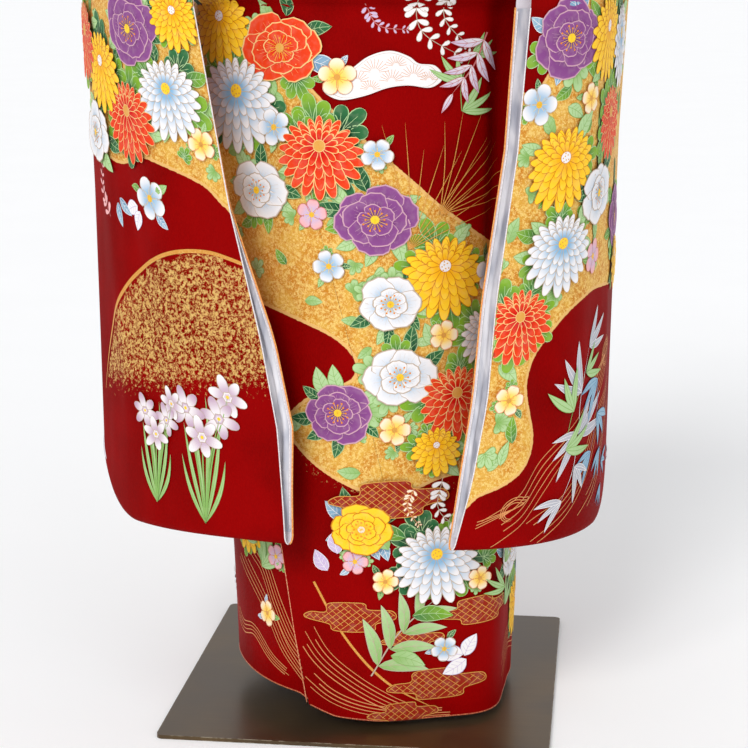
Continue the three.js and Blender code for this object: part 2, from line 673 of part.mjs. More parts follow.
// ---------- build ----------
for (const side of ["left", "right"]) {
  place(`body_${side}`, slab(bodyLength(side, 0), bodyLength(side, CLOTH)), red);
  place(`okumi_${side}`, slab(okumi(side, 0), okumi(side, CLOTH)), red);
}
place("collar", slab(collar(-(COLLAR_LIFT + COLLAR_WALL)), collar(-COLLAR_LIFT)), gold);
place("sash", sash(), gold);

// The armhole's front and back edges at the sleeve's upper rows, just outside the body's side edges.
function armholeEdges(side) {
  const sign = side === "left" ? 1 : -1;
  return UPPER_STEPS.map((rise) => {
    const front = frontShoulder(side, 0, rise, 0);
    const back = backShoulder(side, 0, rise, 0);
    const spread = TOP_FOLD_SPREAD * rise;
    const nearTop = THREE.MathUtils.smoothstep(rise, TOP_CLEAR_FROM, TOP_CLEAR_TO);
    const clear = ARMHOLE_CLEAR + TOP_FOLD_CLEAR * nearTop;
    return {
      front: vec(sign * front.x + clear, front.y - spread, front.z),
      back: vec(sign * back.x + clear + BACK_CLEAR, back.y + spread, back.z),
    };
  });
}

for (const [side, table] of [["left", SLEEVE_LEFT_ROWS], ["right", SLEEVE_RIGHT_ROWS]]) {
  const rows = sleeveRows(table, armholeEdges(side));
  const mirror = side === "left" ? (geometry) => geometry : mirroredGeometry;
  const lining = slab(
    sleeveLining(rows, LINING_LIFT),
    sleeveLining(rows, LINING_LIFT + LINING_WALL),
  );
  place(`sleeve_${side}`, mirror(sleeve(rows)), red);
  place(`sleeve_lining_${side}`, mirror(lining), pale);
  place(`sleeve_bar_${side}`, mirror(sleeveBar(rows)), steel);
}

place("torso", torso(), linen);
place("pole", pole(), steel);
place("base_plate", basePlate(), steel);

export default group;
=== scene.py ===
# Furisode on a dress form: the silk, its lining and its painted motifs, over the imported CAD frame.
# The garment's forms are worked out in millimetres, as in the CAD, and turned into metres at the end.
import math
import random

import bmesh
import bpy
import numpy as np
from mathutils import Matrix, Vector


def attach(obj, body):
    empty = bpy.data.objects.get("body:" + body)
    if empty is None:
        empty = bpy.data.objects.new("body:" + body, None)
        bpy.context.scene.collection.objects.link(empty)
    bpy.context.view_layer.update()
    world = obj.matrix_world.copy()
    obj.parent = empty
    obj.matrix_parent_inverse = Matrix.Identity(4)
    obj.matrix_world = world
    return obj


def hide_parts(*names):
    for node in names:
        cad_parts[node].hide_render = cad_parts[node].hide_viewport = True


MM = 0.001
SIDES = ("left", "right")
LAYERS = ("front", "back")
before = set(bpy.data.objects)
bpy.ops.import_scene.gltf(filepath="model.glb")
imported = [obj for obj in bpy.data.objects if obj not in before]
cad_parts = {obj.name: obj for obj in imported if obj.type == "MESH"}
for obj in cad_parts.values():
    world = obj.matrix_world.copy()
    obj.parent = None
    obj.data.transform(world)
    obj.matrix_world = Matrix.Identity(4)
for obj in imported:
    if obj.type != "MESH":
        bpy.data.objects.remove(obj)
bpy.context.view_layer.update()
scene = bpy.context.scene
scene.view_settings.view_transform = "Standard"

# ---------- camera, solved from the plate's corners ----------
camera_data = bpy.data.cameras.new("camera")
camera_data.lens = 93.06
camera_data.sensor_width = 36.0
camera_data.clip_end = 200.0
camera = bpy.data.objects.new("camera", camera_data)
camera.location = (0.2931, -2.4023, 0.9614)
camera.rotation_euler = (math.radians(77.175), 0.0, math.radians(6.95))
scene.collection.objects.link(camera)
scene.camera = camera


# ---------- small helpers ----------
def linear(red, green, blue):
    """A screen colour, 0 to 255, as linear light."""
    shares = [channel / 255 for channel in (red, green, blue)]
    return tuple(c / 12.92 if c <= 0.04045 else ((c + 0.055) / 1.055) ** 2.4 for c in shares)


def lerp(low, high, share):
    return low + (high - low) * share


def smoothstep(value, low, high):
    share = np.clip((value - low) / (high - low), 0, 1)
    return share * share * (3 - 2 * share)


def hump(value, width):
    """1 at value 0, falling off smoothly over that width to both sides."""
    return np.exp(-(value / width) ** 2)


def wrapped(degrees, start=-90):
    """An angle brought into the full turn that begins at start."""
    return np.mod(degrees - start, 360) + start


def polar(s, z, reach, angle):
    return s + reach * math.cos(angle), z + reach * math.sin(angle)


class Table:
    """A short table with named columns, read between its rows by its first column."""

    def __init__(self, names, *rows):
        data = np.array(rows, float)
        self.at = data[:, 0]
        self.columns = dict(zip(names.split(), data.T))

    def read(self, name, at):
        return np.interp(at, self.at, self.columns[name])


def smooth_curve(points, steps, closed=False):
    """A smooth line through the points, with that many steps between each two."""
    points = np.array(points, float)
    if closed:
        points = np.vstack([points[-1:], points, points[:2]])
    else:
        points = np.vstack([2 * points[0] - points[1], points, 2 * points[-1] - points[-2]])
    shares = np.arange(steps)[:, None] / steps
    out = []
    for a, b, c, d in zip(points, points[1:], points[2:], points[3:]):
        out.append(0.5 * (2 * b + (c - a) * shares + (2 * a - 5 * b + 4 * c - d) * shares ** 2
                          + (3 * b - a - 3 * c + d) * shares ** 3))
    if not closed:
        out.append(points[-2:-1])
    return np.vstack(out)


def signed_distance(x, y, outline):
    """How far inside a closed outline each point is; negative outside."""
    ends = np.roll(outline, -1, axis=0)
    best = np.full(x.shape, 1e9)
    inside = np.zeros(x.shape, bool)
    for (ax, ay), (bx, by) in zip(outline, ends):
        ux, uy = bx - ax, by - ay
        share = np.clip(((x - ax) * ux + (y - ay) * uy) / (ux * ux + uy * uy), 0, 1)
        best = np.minimum(best, np.hypot(x - ax - share * ux, y - ay - share * uy))
        if ay != by:
            crosses = ((ay > y) != (by > y)) & (x < (bx - ax) * (y - ay) / (by - ay) + ax)
            inside ^= crosses
    return np.where(inside, best, -best)


# ---------- the garment's forms, as in the CAD ----------
CLOTH_WALL = 1.3
UNDER_INSET = 8
OKUMI_TURN = 47
CHEST_Z = 1110
WAIST_Z = 980
SASH_BOTTOM = 985
SASH_TOP = 1045
NECK_X = 75
NECK_Z = 1345
SHOULDER_X = 215
SHOULDER_FALL = 0.33
ARMHOLE_TURN = 36
NECK_DROP = 0.7
ROUND_MM = 185                     # one radian of the body, as millimetres of the flat chart
FULL_TURN_MM = 2 * math.pi * ROUND_MM

BODY = Table(
    "z half front back free left rear right under",
    (15, 181, 190, 172, -19, 98, 186, 276, 37),
    (120, 184, 189, 172, -25, 94, 185, 275, 37),
    (225, 187, 188, 172, -30, 90, 184, 274, 37),
    (340, 189, 186, 171, -38, 84, 183, 273, 37),
    (450, 190, 184, 170, -46, 78, 182, 272, 38),
    (650, 194, 178, 165, -62, 70, 181, 271, 40),
    (880, 196, 168, 158, -72, 66, 180, 270, 40),
    (890, 205, 177, 167, -72, 66, 180, 270, 40),
    (950, 200, 168, 158, -66, 67, 180, 270, 40),
    (980, 186, 150, 140, -60, 68, 180, 270, 40),
    (1012, 184, 146, 136, -53, 68, 180, 278, 35),
    (1045, 182, 142, 132, -45, 68, 180, 286, 30),
    (1067, 186, 141, 131, -35, 68, 180, 288, 25),
    (1088, 191, 139, 130, -25, 68, 180, 290, 20),
    (CHEST_Z, 196, 138, 130, -15, 68, 180, 292, 15),
)
HEM = Table(
    "turn z",
    (-60, 44), (-25, 38), (-19, 29), (-8, 18), (10, 14), (60, 13), (98, 22), (150, 46), (200, 52), (420, 52),
)
# The pressed fold where the left front turns back to the side: its turn, and the trough beyond it.
SIDE_FOLD = Table(
    "z turn trough",
    (0, 76, 1.2), (120, 75, 1.6), (300, 64, 4), (540, 52, 8), (700, 49, 9), (880, 48, 5), (1110, 46, 0),
)
# Soft vertical hollows and swells of the skirt: turn at the hem, lean to the top, width and height.
SKIRT_SWELLS = (
    (-50, 10, 9, -1.6), (-34, -6, 7, 1.1), (12, 8, 8, -1.0), (33, 12, 6, 1.2), (47, 3, 5, -1.4),
    (112, -8, 9, -3.2), (131, 5, 8, 2.6), (150, -4, 10, -3.6), (168, 6, 7, 2.0), (205, 7, 9, -3.0),
    (224, -6, 8, 2.4), (243, 5, 9, -3.4), (262, -3, 7, 1.6),
)
# Broad swells near the hem: the pressed corner of the left front, and the flatter right side.
HEM_SWELLS = ((52, 15, 24), (-72, 20, -5))
HIP_SWELL = 29                     # how far the hips stand out to each side, under the sash
HIP_TURN = 80
HIP_WIDTH = 30
SKIRT_TOP = 880
TROUGH_TURN = 5                    # degrees from the side fold to the middle of its trough
TROUGH_WIDTH = 4.5
FOLD_EDGE_WIDTH = 1.2


def okumi_turn(z):
    return lerp(OKUMI_TURN, 3, smoothstep(z, WAIST_Z, CHEST_Z))


def body_swell(turn, z):
    """How far the cloth stands out of its plain section, in millimetres."""
    around = wrapped(turn)
    fade = smoothstep(z, 10, 120) * (1 - smoothstep(z, 780, 870))
    out = np.zeros(np.broadcast(turn, z).shape)
    for start, lean, width, height in SKIRT_SWELLS:
        out = out + height * fade * hump(around - (start + lean * z / SKIRT_TOP), width)
    beyond = around - SIDE_FOLD.read("turn", z)
    trough = SIDE_FOLD.read("trough", z)
    past = hump(beyond - TROUGH_TURN, TROUGH_WIDTH)
    before = np.exp(-(TROUGH_TURN / TROUGH_WIDTH) ** 2 - (beyond / FOLD_EDGE_WIDTH) ** 2)
    hollow = np.where(beyond > 0, past, before)
    ridge = 0.12 * trough * hump(beyond + 2.5, 3)
    low = 1 - smoothstep(z, 60, 460)
    for middle, width, height in HEM_SWELLS:
        out = out + height * low * hump(wrapped(around - middle, -180), width)
    hips = HIP_SWELL * smoothstep(z, 560, 760) * (1 - smoothstep(z, 930, SASH_BOTTOM))
    for middle in (-HIP_TURN, HIP_TURN):
        out = out + hips * hump(wrapped(around - middle, -180), HIP_WIDTH)
    return out + ridge - trough * hollow


def body_point(turn, z, inset=0.0):
    angle = np.radians(turn)
    half = BODY.read("half", z) - inset
    depth = np.where(np.cos(angle) > 0, BODY.read("front", z), BODY.read("back", z)) - inset
    return np.stack(np.broadcast_arrays(half * np.sin(angle), -depth * np.cos(angle), z), axis=-1)


def under_inset(turn, z):
    start = BODY.read("right", z) - 360
    end = BODY.read("free", z) - 6
    return UNDER_INSET * smoothstep(turn, start, np.maximum(end, start + 10))


def panel_z(height, turn):
    """The lowest rows follow the hem, which is low in front and higher at the sides and back."""
    share = np.clip((height - 15) / 105, 0, 1)
    return np.where(height < 120, lerp(HEM.read("z", turn), 120, share), height)


def shoulder_point(chest, ridge_x, rise, depth, across):
    angle = np.radians(90 * np.asarray(rise, float))
    top = NECK_Z - (np.abs(ridge_x) - NECK_X) * SHOULDER_FALL - depth
    return np.stack([
        lerp(chest[..., 0], ridge_x, across),
        chest[..., 1] * np.cos(angle),
        chest[..., 2] + (top - chest[..., 2]) * np.sin(angle),
    ], axis=-1)


def front_turn(side, share, height):
    if side == "left":
        edge, middle = BODY.read("left", height), BODY.read("free", height) + okumi_turn(height)
    else:
        edge, middle = BODY.read("right", height) - 360, BODY.read("under", height) - okumi_turn(height)
    gap = 0.05 * np.sign(middle - edge)
    return lerp(edge + gap, middle - gap, share)


def back_turn(side, share, height):
    opening = ARMHOLE_TURN * smoothstep(height, SASH_TOP, CHEST_Z) + 0.05
    middle = BODY.read("rear", height)
    if side == "left":
        return lerp(BODY.read("left", height) + opening, middle - 0.05, share)
    return lerp(BODY.read("right", height) - opening, middle + 0.05, share)


def front_point(side, share, height, depth=0.0):
    turn = front_turn(side, share, height)
    z = panel_z(height, turn)
    inset = under_inset(turn, height) if side == "right" else 0.0
    return body_point(turn, z, depth + inset - body_swell(turn, z))


def back_point(side, share, height, depth=0.0):
    turn = back_turn(side, share, height)
    z = panel_z(height, turn)
    return body_point(turn, z, depth - body_swell(turn, z))


def ridge_line(side, share):
    return (1 if side == "left" else -1) * lerp(SHOULDER_X, NECK_X, share)


def front_shoulder(side, share, rise, depth=0.0):
    chest = front_point(side, share, CHEST_Z, depth)
    return shoulder_point(chest, ridge_line(side, share), rise, depth, rise)


def back_shoulder(side, share, rise, depth=0.0):
    chest = back_point(side, share, CHEST_Z, depth)
    near_neck = np.clip((rise - NECK_DROP) / (1 - NECK_DROP), 0, 1) ** 0.6
    return shoulder_point(chest, ridge_line(side, share), rise, depth, lerp(rise, near_neck, share))


SLEEVE_LEFT = Table(
    "z x y turn out_x out_y out_turn gap reveal",
    (250, 123, -228, 16, 298, 25, 88, 12, 4),
    (330, 143, -222, 18, 299, 30, 88, 15, 12),
    (430, 160, -215, 20, 300, 40, 88, 17, 14),
    (545, 168, -208, 22, 302, 50, 86, 18, 12),
    (720, 190, -202, 24, 305, 66, 82, 20, 9),
    (885, 202, -192, 24, 313, 84, 78, 24, 10),
)
SLEEVE_RIGHT = Table(
    "z x y turn out_x out_y out_turn gap reveal",
    (250, 79, -228, 20, 345, -50, 58, 12, 4),
    (310, 83, -222, 20, 347, -46, 58, 14, 6),
    (390, 89, -218, 20, 349, -40, 58, 16, 13),
    (495, 108, -213, 20, 352, -30, 60, 16, 10),
    (655, 147, -198, 22, 358, -10, 62, 10, -6),
    (885, 187, -186, 24, 372, 24, 66, 9, -8),
)
SLEEVE_FOOT_Z = 250
SLEEVE_LOW_TOP = 885
SLEEVE_CORNER = 95
SLEEVE_TOP_FALL = 60
TOP_OUTER = (430, 150, 62)         # the outer edge at the top fold: x, y and turn
TOP_FOLD_SPREAD = 13
BOTTOM_FALL = 14
CUFF_Z = 1215
FOLD_RADIUS = 9                    # the layers bend towards each other this close to a closed edge
PLAN_COLUMNS = 65

# Soft creases of the sleeves: side, layer, where it starts and ends (mm from the inner edge, height),
# its half width and how far it stands out.
SLEEVE_CREASES = (
    ("left", "front", 104, 250, 46, 540, 24, -3.6),
    ("left", "front", 46, 540, 26, 900, 24, -2.6),
    ("left", "front", 78, 250, 24, 560, 16, 2.0),
    ("left", "front", 178, 300, 150, 900, 26, -2.4),
    ("left", "front", 232, 330, 226, 820, 20, 2.0),
    ("left", "back", 120, 260, 70, 880, 22, -3.5),
    ("left", "back", 200, 300, 190, 1000, 26, 3.0),
    ("left", "back", 262, 300, 236, 860, 18, -3.0),
    ("right", "front", 62, 260, 40, 700, 22, -1.8),
    ("right", "front", 118, 300, 96, 880, 24, 1.8),
    ("right", "front", 176, 260, 160, 820, 22, -2.6),
    ("right", "front", 236, 340, 214, 1000, 20, 2.2),
    ("right", "back", 90, 270, 70, 880, 22, -3.2),
    ("right", "back", 168, 300, 190, 1000, 26, 3.0),
    ("right", "back", 250, 300, 230, 860, 18, -3.2),
)


def bezier(start, first, second, end, share):
    rest = 1 - share
    return (rest ** 3 * start + 3 * rest ** 2 * share * first
            + 3 * rest * share ** 2 * second + share ** 3 * end)


def heading(degrees):
    return np.array([math.cos(math.radians(degrees)), math.sin(math.radians(degrees))])


def by_length(line, count):
    """A line's points, moved along it until they are evenly spaced, and its length."""
    along = np.concatenate([[0], np.cumsum(np.hypot(*np.diff(line, axis=0).T))])
    even = np.linspace(0, along[-1], count)
    return np.stack([np.interp(even, along, line[:, i]) for i in (0, 1)], axis=1), along[-1]


class Sleeve:
    """One sleeve: two layers that meet at the bottom, the outer edge and the top fold."""

    def __init__(self, side, table):
        self.side = side
        self.sign = 1 if side == "left" else -1
        rows = []
        for z in np.linspace(SLEEVE_FOOT_Z, SLEEVE_LOW_TOP, 28):
            row = {name: float(table.read(name, z)) for name in table.columns if name != "z"}
            turn = math.radians(row["turn"])
            row["back_x"] = row["x"] - row["gap"] * math.sin(turn) - row["reveal"] * math.cos(turn)
            row["back_y"] = row["y"] + row["gap"] * math.cos(turn) - row["reveal"] * math.sin(turn)
            row["z"], row["fall"] = float(z), 0.0
            rows.append(row)
        low = rows[-1]
        for rise in (0, 0.1, 0.2, 0.3, 0.4, 0.5, 0.6, 0.7, 0.8, 0.87, 0.93, 0.97, 1):
            front = front_shoulder(side, np.float64(0), rise)
            back = back_shoulder(side, np.float64(0), rise)
            clear = 0.7 + 2.4 * float(smoothstep(rise, 0.6, 0.93))
            share = math.sin(math.radians(90 * rise))
            outer = lerp(0.35, 1, share)
            rows.append({
                "x": self.sign * front[0] + clear, "y": front[1] - TOP_FOLD_SPREAD * rise,
                "back_x": self.sign * back[0] + clear + 1.5, "back_y": back[1] + TOP_FOLD_SPREAD * rise,
                "z": float(front[2]), "fall": SLEEVE_TOP_FALL * share, "reveal": 0.0,
                "turn": lerp(low["turn"], 4, share),
                "out_x": lerp(low["out_x"], TOP_OUTER[0], outer),
                "out_y": lerp(low["out_y"], TOP_OUTER[1], outer),
                "out_turn": lerp(low["out_turn"], TOP_OUTER[2], share),
                "gap": lerp(low["gap"], 2 * TOP_FOLD_SPREAD, share),
            })
        self.z = np.array([row["z"] for row in rows])
        self.fall = np.array([row["fall"] for row in rows])
        self.top = self.z[-1]
        plans = {"front": [], "back": []}
        widths = []
        shares = np.linspace(0, 1, 80)[:, None]
        for row in rows:
            start, end = np.array([row["x"], row["y"]]), np.array([row["out_x"], row["out_y"]])
            back_start = np.array([row["back_x"], row["back_y"]])
            back_end = end + heading(row["out_turn"] + 90) * row["gap"] * 0.75
            reach = np.hypot(*(end - start)) * 0.42
            out, inward = heading(row["turn"]), heading(row["out_turn"])
            for layer, a, b in (("front", start, end), ("back", back_start, back_end)):
                far = np.hypot(*(b - a)) * 0.42 if layer == "back" else reach
                line = bezier(a, a + out * far, b - inward * far, b, shares)
                even, length = by_length(line, PLAN_COLUMNS)
                plans[layer].append(even)
                if layer == "front":
                    widths.append(length)
        self.plans = {layer: np.array(lines) for layer, lines in plans.items()}
        self.widths = np.array(widths)

    def width(self, z):
        return np.interp(z, self.z, self.widths)

    def bottom(self, share):
        width = self.widths[0]
        into = np.clip((np.minimum(share, 1) - 1) * width + SLEEVE_CORNER, 0, SLEEVE_CORNER)
        lift = SLEEVE_CORNER - np.sqrt(SLEEVE_CORNER ** 2 - into ** 2)
        return SLEEVE_FOOT_Z - BOTTOM_FALL * share + lift

    def plan(self, layer, share, z):
        """The layer's plan point, between the rows and columns of its grid."""
        level = np.interp(z, self.z, np.arange(len(self.z)))
        column = np.clip(share, 0, 1) * (PLAN_COLUMNS - 1)
        i = np.minimum(level.astype(int), len(self.z) - 2)
        j = np.minimum(column.astype(int), PLAN_COLUMNS - 2)
        up, across = (level - i)[..., None], (column - j)[..., None]
        grid = self.plans[layer]
        low = lerp(grid[i, j], grid[i, j + 1], across)
        high = lerp(grid[i + 1, j], grid[i + 1, j + 1], across)
        point = lerp(low, high, up)
        past = (share - np.clip(share, 0, 1)) * self.width(z)
        step = grid[i, j + 1] - grid[i, j]
        return point + step / np.linalg.norm(step, axis=-1, keepdims=True) * past[..., None]

    def crease(self, layer, s, z):
        out = np.zeros(np.shape(s))
        for side, on, s0, z0, s1, z1, width, height in SLEEVE_CREASES:
            if side == self.side and on == layer:
                along = (z - z0) / (z1 - z0)
                fade = smoothstep(along, -0.06, 0.2) * (1 - smoothstep(along, 0.85, 1.1))
                middle = lerp(s0, s1, along)
                out = out + height * fade * hump(s - middle, width)
        return out

    def point(self, layer, share, z, out=0.0):
        share, z = np.broadcast_arrays(np.asarray(share, float), np.asarray(z, float))
        front, back = self.plan("front", share, z), self.plan("back", share, z)
        mid = (front + back) / 2
        width = self.width(z)

        def rounding(distance, radius):
            return np.sqrt(np.clip(1 - (1 - np.clip(distance / radius, 0, 1)) ** 2, 0, 1))

        closing = rounding(z - self.bottom(share), FOLD_RADIUS)
        outer = rounding((1 - share) * width, FOLD_RADIUS)
        closing = closing * lerp(outer, 1, smoothstep(z, CUFF_Z - 30, CUFF_Z))
        closing = closing * rounding(self.top - z, TOP_FOLD_SPREAD)
        gap = np.linalg.norm(front - back, axis=-1)
        outward = (front - back) / gap[..., None]
        stand = (gap / 2 + self.crease(layer, share * width, z)) * closing + out
        sign = 1 if layer == "front" else -1
        plan = mid + outward * (sign * stand)[..., None]
        height = z - np.interp(z, self.z, self.fall) * np.clip(share, 0, 1)
        return np.stack([self.sign * plan[..., 0], plan[..., 1], height], axis=-1)


SLEEVES = {side: Sleeve(side, table) for side, table in zip(SIDES, (SLEEVE_LEFT, SLEEVE_RIGHT))}


# ---------- surfaces that motifs are laid on: chart (s, z) in millimetres to a point ----------
def left_front_skin(s, z):
    turn = np.maximum(np.degrees(s / ROUND_MM), BODY.read("free", z) + 0.12)
    z = np.maximum(z, HEM.read("z", turn) + 0.3)
    return body_point(turn, z, -body_swell(turn, z))


def right_front_skin(s, z):
    turn = np.degrees(s / ROUND_MM)
    z = np.maximum(z, HEM.read("z", turn) + 0.3)
    return body_point(turn, z, under_inset(turn, z) - body_swell(turn, z))


def sleeve_skin(side, layer):
    sleeve = SLEEVES[side]

    def skin(s, z):
        share = np.clip(s / sleeve.width(z), 0.002, 0.998)
        return sleeve.point(layer, share, np.clip(z, sleeve.bottom(share) + 0.4, sleeve.top - 1))

    return skin


def laid(skin, s, z, lift, flip=1):
    """Points on a skin, moved out along its normal."""
    place = skin(s, z)
    across = skin(s + 1.0, z) - skin(s - 1.0, z)
    up = skin(s, z + 1.5) - skin(s, z - 1.5)
    normal = np.cross(across, up) * flip
    length = np.linalg.norm(normal, axis=-1, keepdims=True)
    normal = normal / np.maximum(length, 1e-6)
    return place + normal * np.asarray(lift)[..., None]


# ---------- the gold clouds of the ground, as outlines on each chart ----------
BODY_CLOUD = smooth_curve((
    (-330, 930), (-210, 885), (-120, 850), (-60, 790), (10, 730), (60, 690), (120, 640), (190, 600),
    (300, 590), (390, 640), (470, 700), (560, 690), (640, 620), (720, 640), (800, 720), (834, 800),
    (834, 520), (760, 470), (690, 420), (600, 450), (520, 400), (430, 330), (360, 350), (300, 330),
    (200, 300), (120, 322), (40, 300), (-40, 330), (-90, 380), (-60, 420), (0, 450), (-20, 490),
    (-100, 520), (-200, 540), (-330, 570),
), 6, closed=True)
SLEEVE_LEFT_CLOUD = smooth_curve((
    (-30, 775), (10, 780), (34, 812), (60, 850), (84, 905), (110, 960), (180, 985), (260, 960), (360, 975),
    (360, 534), (300, 532), (230, 540), (156, 542), (100, 524), (62, 484), (48, 448), (56, 418),
    (70, 386), (70, 358), (50, 332), (14, 317), (-30, 314),
), 6, closed=True)
SLEEVE_RIGHT_CLOUD = smooth_curve((
    (-30, 640), (6, 650), (30, 672), (80, 690), (130, 700), (170, 688), (210, 694), (260, 722),
    (310, 700), (360, 706), (360, 1010), (290, 1000), (210, 960), (140, 990), (60, 940), (-30, 980),
), 6, closed=True)
ARCH_LINE = smooth_curve((
    (-4, 584), (40, 594), (90, 592), (140, 576), (190, 548), (236, 508), (272, 456), (300, 396), (316, 340),
), 6)
POWDER_ARCH = np.vstack([ARCH_LINE, [(316, 280), (-30, 280), (-30, 584)]])
SLEEVE_BACK_CLOUD = smooth_curve((
    (-30, 700), (40, 730), (110, 700), (180, 740), (260, 800), (360, 780), (360, 420), (290, 390),
    (220, 430), (150, 400), (80, 440), (-30, 430),
), 6, closed=True)
PLAIN = -60.0                      # how far inside a cloud the plain red counts as: well outside


def body_ground(s, z):
    around = np.mod(s + FULL_TURN_MM / 4, FULL_TURN_MM) - FULL_TURN_MM / 4
    best = np.full(np.shape(s), PLAIN)
    for shift in (-FULL_TURN_MM, 0, FULL_TURN_MM):
        best = np.maximum(best, signed_distance(around + shift, z, BODY_CLOUD))
    powder = 0.38 * smoothstep(best, -60, -5) * (z < 420)
    return best, powder


def sleeve_ground(side, layer):
    def ground(s, z):
        if layer == "back":
            return signed_distance(s, z, SLEEVE_BACK_CLOUD), np.zeros(np.shape(s))
        if side == "left":
            return signed_distance(s, z, SLEEVE_LEFT_CLOUD), np.zeros(np.shape(s))
        arch = signed_distance(s, z, POWDER_ARCH)
        thick = lerp(0.22, 0.5, smoothstep(z + 0.12 * s, 396, 466))
        return signed_distance(s, z, SLEEVE_RIGHT_CLOUD), thick * smoothstep(arch, -2, 3) * (z > 300)

    return ground


def plain_ground(s, z):
    return np.full(np.shape(s), PLAIN), np.zeros(np.shape(s))


# ---------- mesh builders ----------
def link(name, mesh, *materials):
    piece = bpy.data.objects.new(name, mesh)
    scene.collection.objects.link(piece)
    for material in materials:
        mesh.materials.append(material)
    return piece


def cloth(name, grids, material, wall=CLOTH_WALL):
    """A closed thin shell. Each grid is (points, chart s, chart z, ground, flip) of its outer face."""
    shell = bmesh.new()
    layers = {key: shell.verts.layers.float.new(key) for key in ("cloud", "dust", "inside")}
    for points, s, z, ground, flip in grids:
        cloud, dust = ground(s, z)
        rows, columns = points.shape[:2]
        made = []
        for i in range(rows):
            made.append([])
            for j in range(columns):
                vertex = shell.verts.new(points[i, j] * MM)
                vertex[layers["cloud"]] = cloud[i, j]
                vertex[layers["dust"]] = dust[i, j]
                made[i].append(vertex)
        for i in range(rows - 1):
            for j in range(columns - 1):
                corners = [made[i][j], made[i][j + 1], made[i + 1][j + 1], made[i + 1][j]]
                shell.faces.new(corners[::-1] if flip else corners)
    bmesh.ops.remove_doubles(shell, verts=shell.verts, dist=0.05 * MM)
    shell.normal_update()
    outer_faces = list(shell.faces)
    rim = [edge for edge in shell.edges if edge.is_boundary]
    twins = {}
    for vertex in list(shell.verts):
        twin = shell.verts.new(vertex.co - vertex.normal * wall * MM)
        twin[layers["cloud"]] = PLAIN
        twin[layers["inside"]] = 1
        twins[vertex] = twin
    for face in outer_faces:
        shell.faces.new([twins[vertex] for vertex in reversed(face.verts)])
    for edge in rim:
        loop = edge.link_loops[0]
        a, b = loop.vert, loop.link_loop_next.vert
        shell.faces.new([b, a, twins[a], twins[b]])
        edge.smooth = False
        shell.edges.get((twins[a], twins[b])).smooth = False
    for face in shell.faces:
        face.smooth = True
    mesh = bpy.data.meshes.new(name)
    shell.to_mesh(mesh)
    shell.free()
    return link(name, mesh, material)


def tube(name, path, radius, material, sides=8):
    """A closed round cord along a path in millimetres."""
    path = np.array(path, float)
    along = np.gradient(path, axis=0)
    along /= np.linalg.norm(along, axis=1, keepdims=True)
    guide = np.array([0.3, 0.9, 0.2])
    side = np.cross(along, guide)
    side /= np.linalg.norm(side, axis=1, keepdims=True)
    up = np.cross(side, along)
    angles = np.linspace(0, 2 * math.pi, sides, endpoint=False)
    ring = (side[:, None] * np.cos(angles)[None, :, None] + up[:, None] * np.sin(angles)[None, :, None])
    points = (path[:, None] + ring * radius).reshape(-1, 3) * MM
    faces = [list(range(sides))[::-1], list(range(len(points) - sides, len(points)))]
    for i in range(len(path) - 1):
        low, high = i * sides, (i + 1) * sides
        for j in range(sides):
            k = (j + 1) % sides
            faces.append([low + j, low + k, high + k, high + j])
    mesh = bpy.data.meshes.new(name)
    mesh.from_pydata(points.tolist(), [], faces)
    repair = bmesh.new()
    repair.from_mesh(mesh)
    bmesh.ops.recalc_face_normals(repair, faces=repair.faces)
    repair.to_mesh(mesh)
    repair.free()
    mesh.polygons.foreach_set("use_smooth", [True] * len(mesh.polygons))
    return link(name, mesh, material)


# ---------- the body panels ----------
HEM_ROWS = [15, 17, 21, 28, 38, 50]
HIP_ROWS = [884, 890, 900, 912, 926, 940, 952, 964, 974, 981]
HEIGHTS = np.array(HEM_ROWS + list(range(62, 885, 12)) + HIP_ROWS + list(range(990, 1111, 12)), float)
RISES = np.array([0.06, 0.12, 0.2, 0.3, 0.4, 0.5, 0.6, 0.7, 0.8, 0.87, 0.93, 0.97, 1])
PANEL_COLUMNS = 50


def panel_rows(side, shares):
    """One body length: from the front hem over the shoulder to the back hem."""
    rows = [front_point(side, shares, height) for height in HEIGHTS]
    rows += [front_shoulder(side, shares, rise) for rise in RISES]
    rows += [back_shoulder(side, shares, rise) for rise in RISES[-2::-1]]
    rows += [back_point(side, shares, height) for height in HEIGHTS[::-1]]
    return np.array(rows)


def body_chart(points):
    s = np.arctan2(points[..., 0], -points[..., 1]) * ROUND_MM
    return s, points[..., 2]


def body_panel(side, material):
    points = panel_rows(side, np.linspace(0, 1, PANEL_COLUMNS))
    s, z = body_chart(points)
    return cloth("silk_body_" + side, [(points, s, z, body_ground, side == "left")], material)


def overlap_panel(side, material):
    left = side == "left"
    rows = []
    for height in HEIGHTS:
        free = BODY.read("free" if left else "under", height)
        turn = free + np.linspace(0, okumi_turn(height) - 0.05, 28) * (1 if left else -1)
        z = panel_z(height, turn)
        inset = 0.0 if left else under_inset(turn, height)
        rows.append(body_point(turn, z, inset - body_swell(turn, z)))
    points = np.array(rows)
    s, z = body_chart(points)
    return cloth("silk_overlap_" + side, [(points, s, z, body_ground, not left)], material)


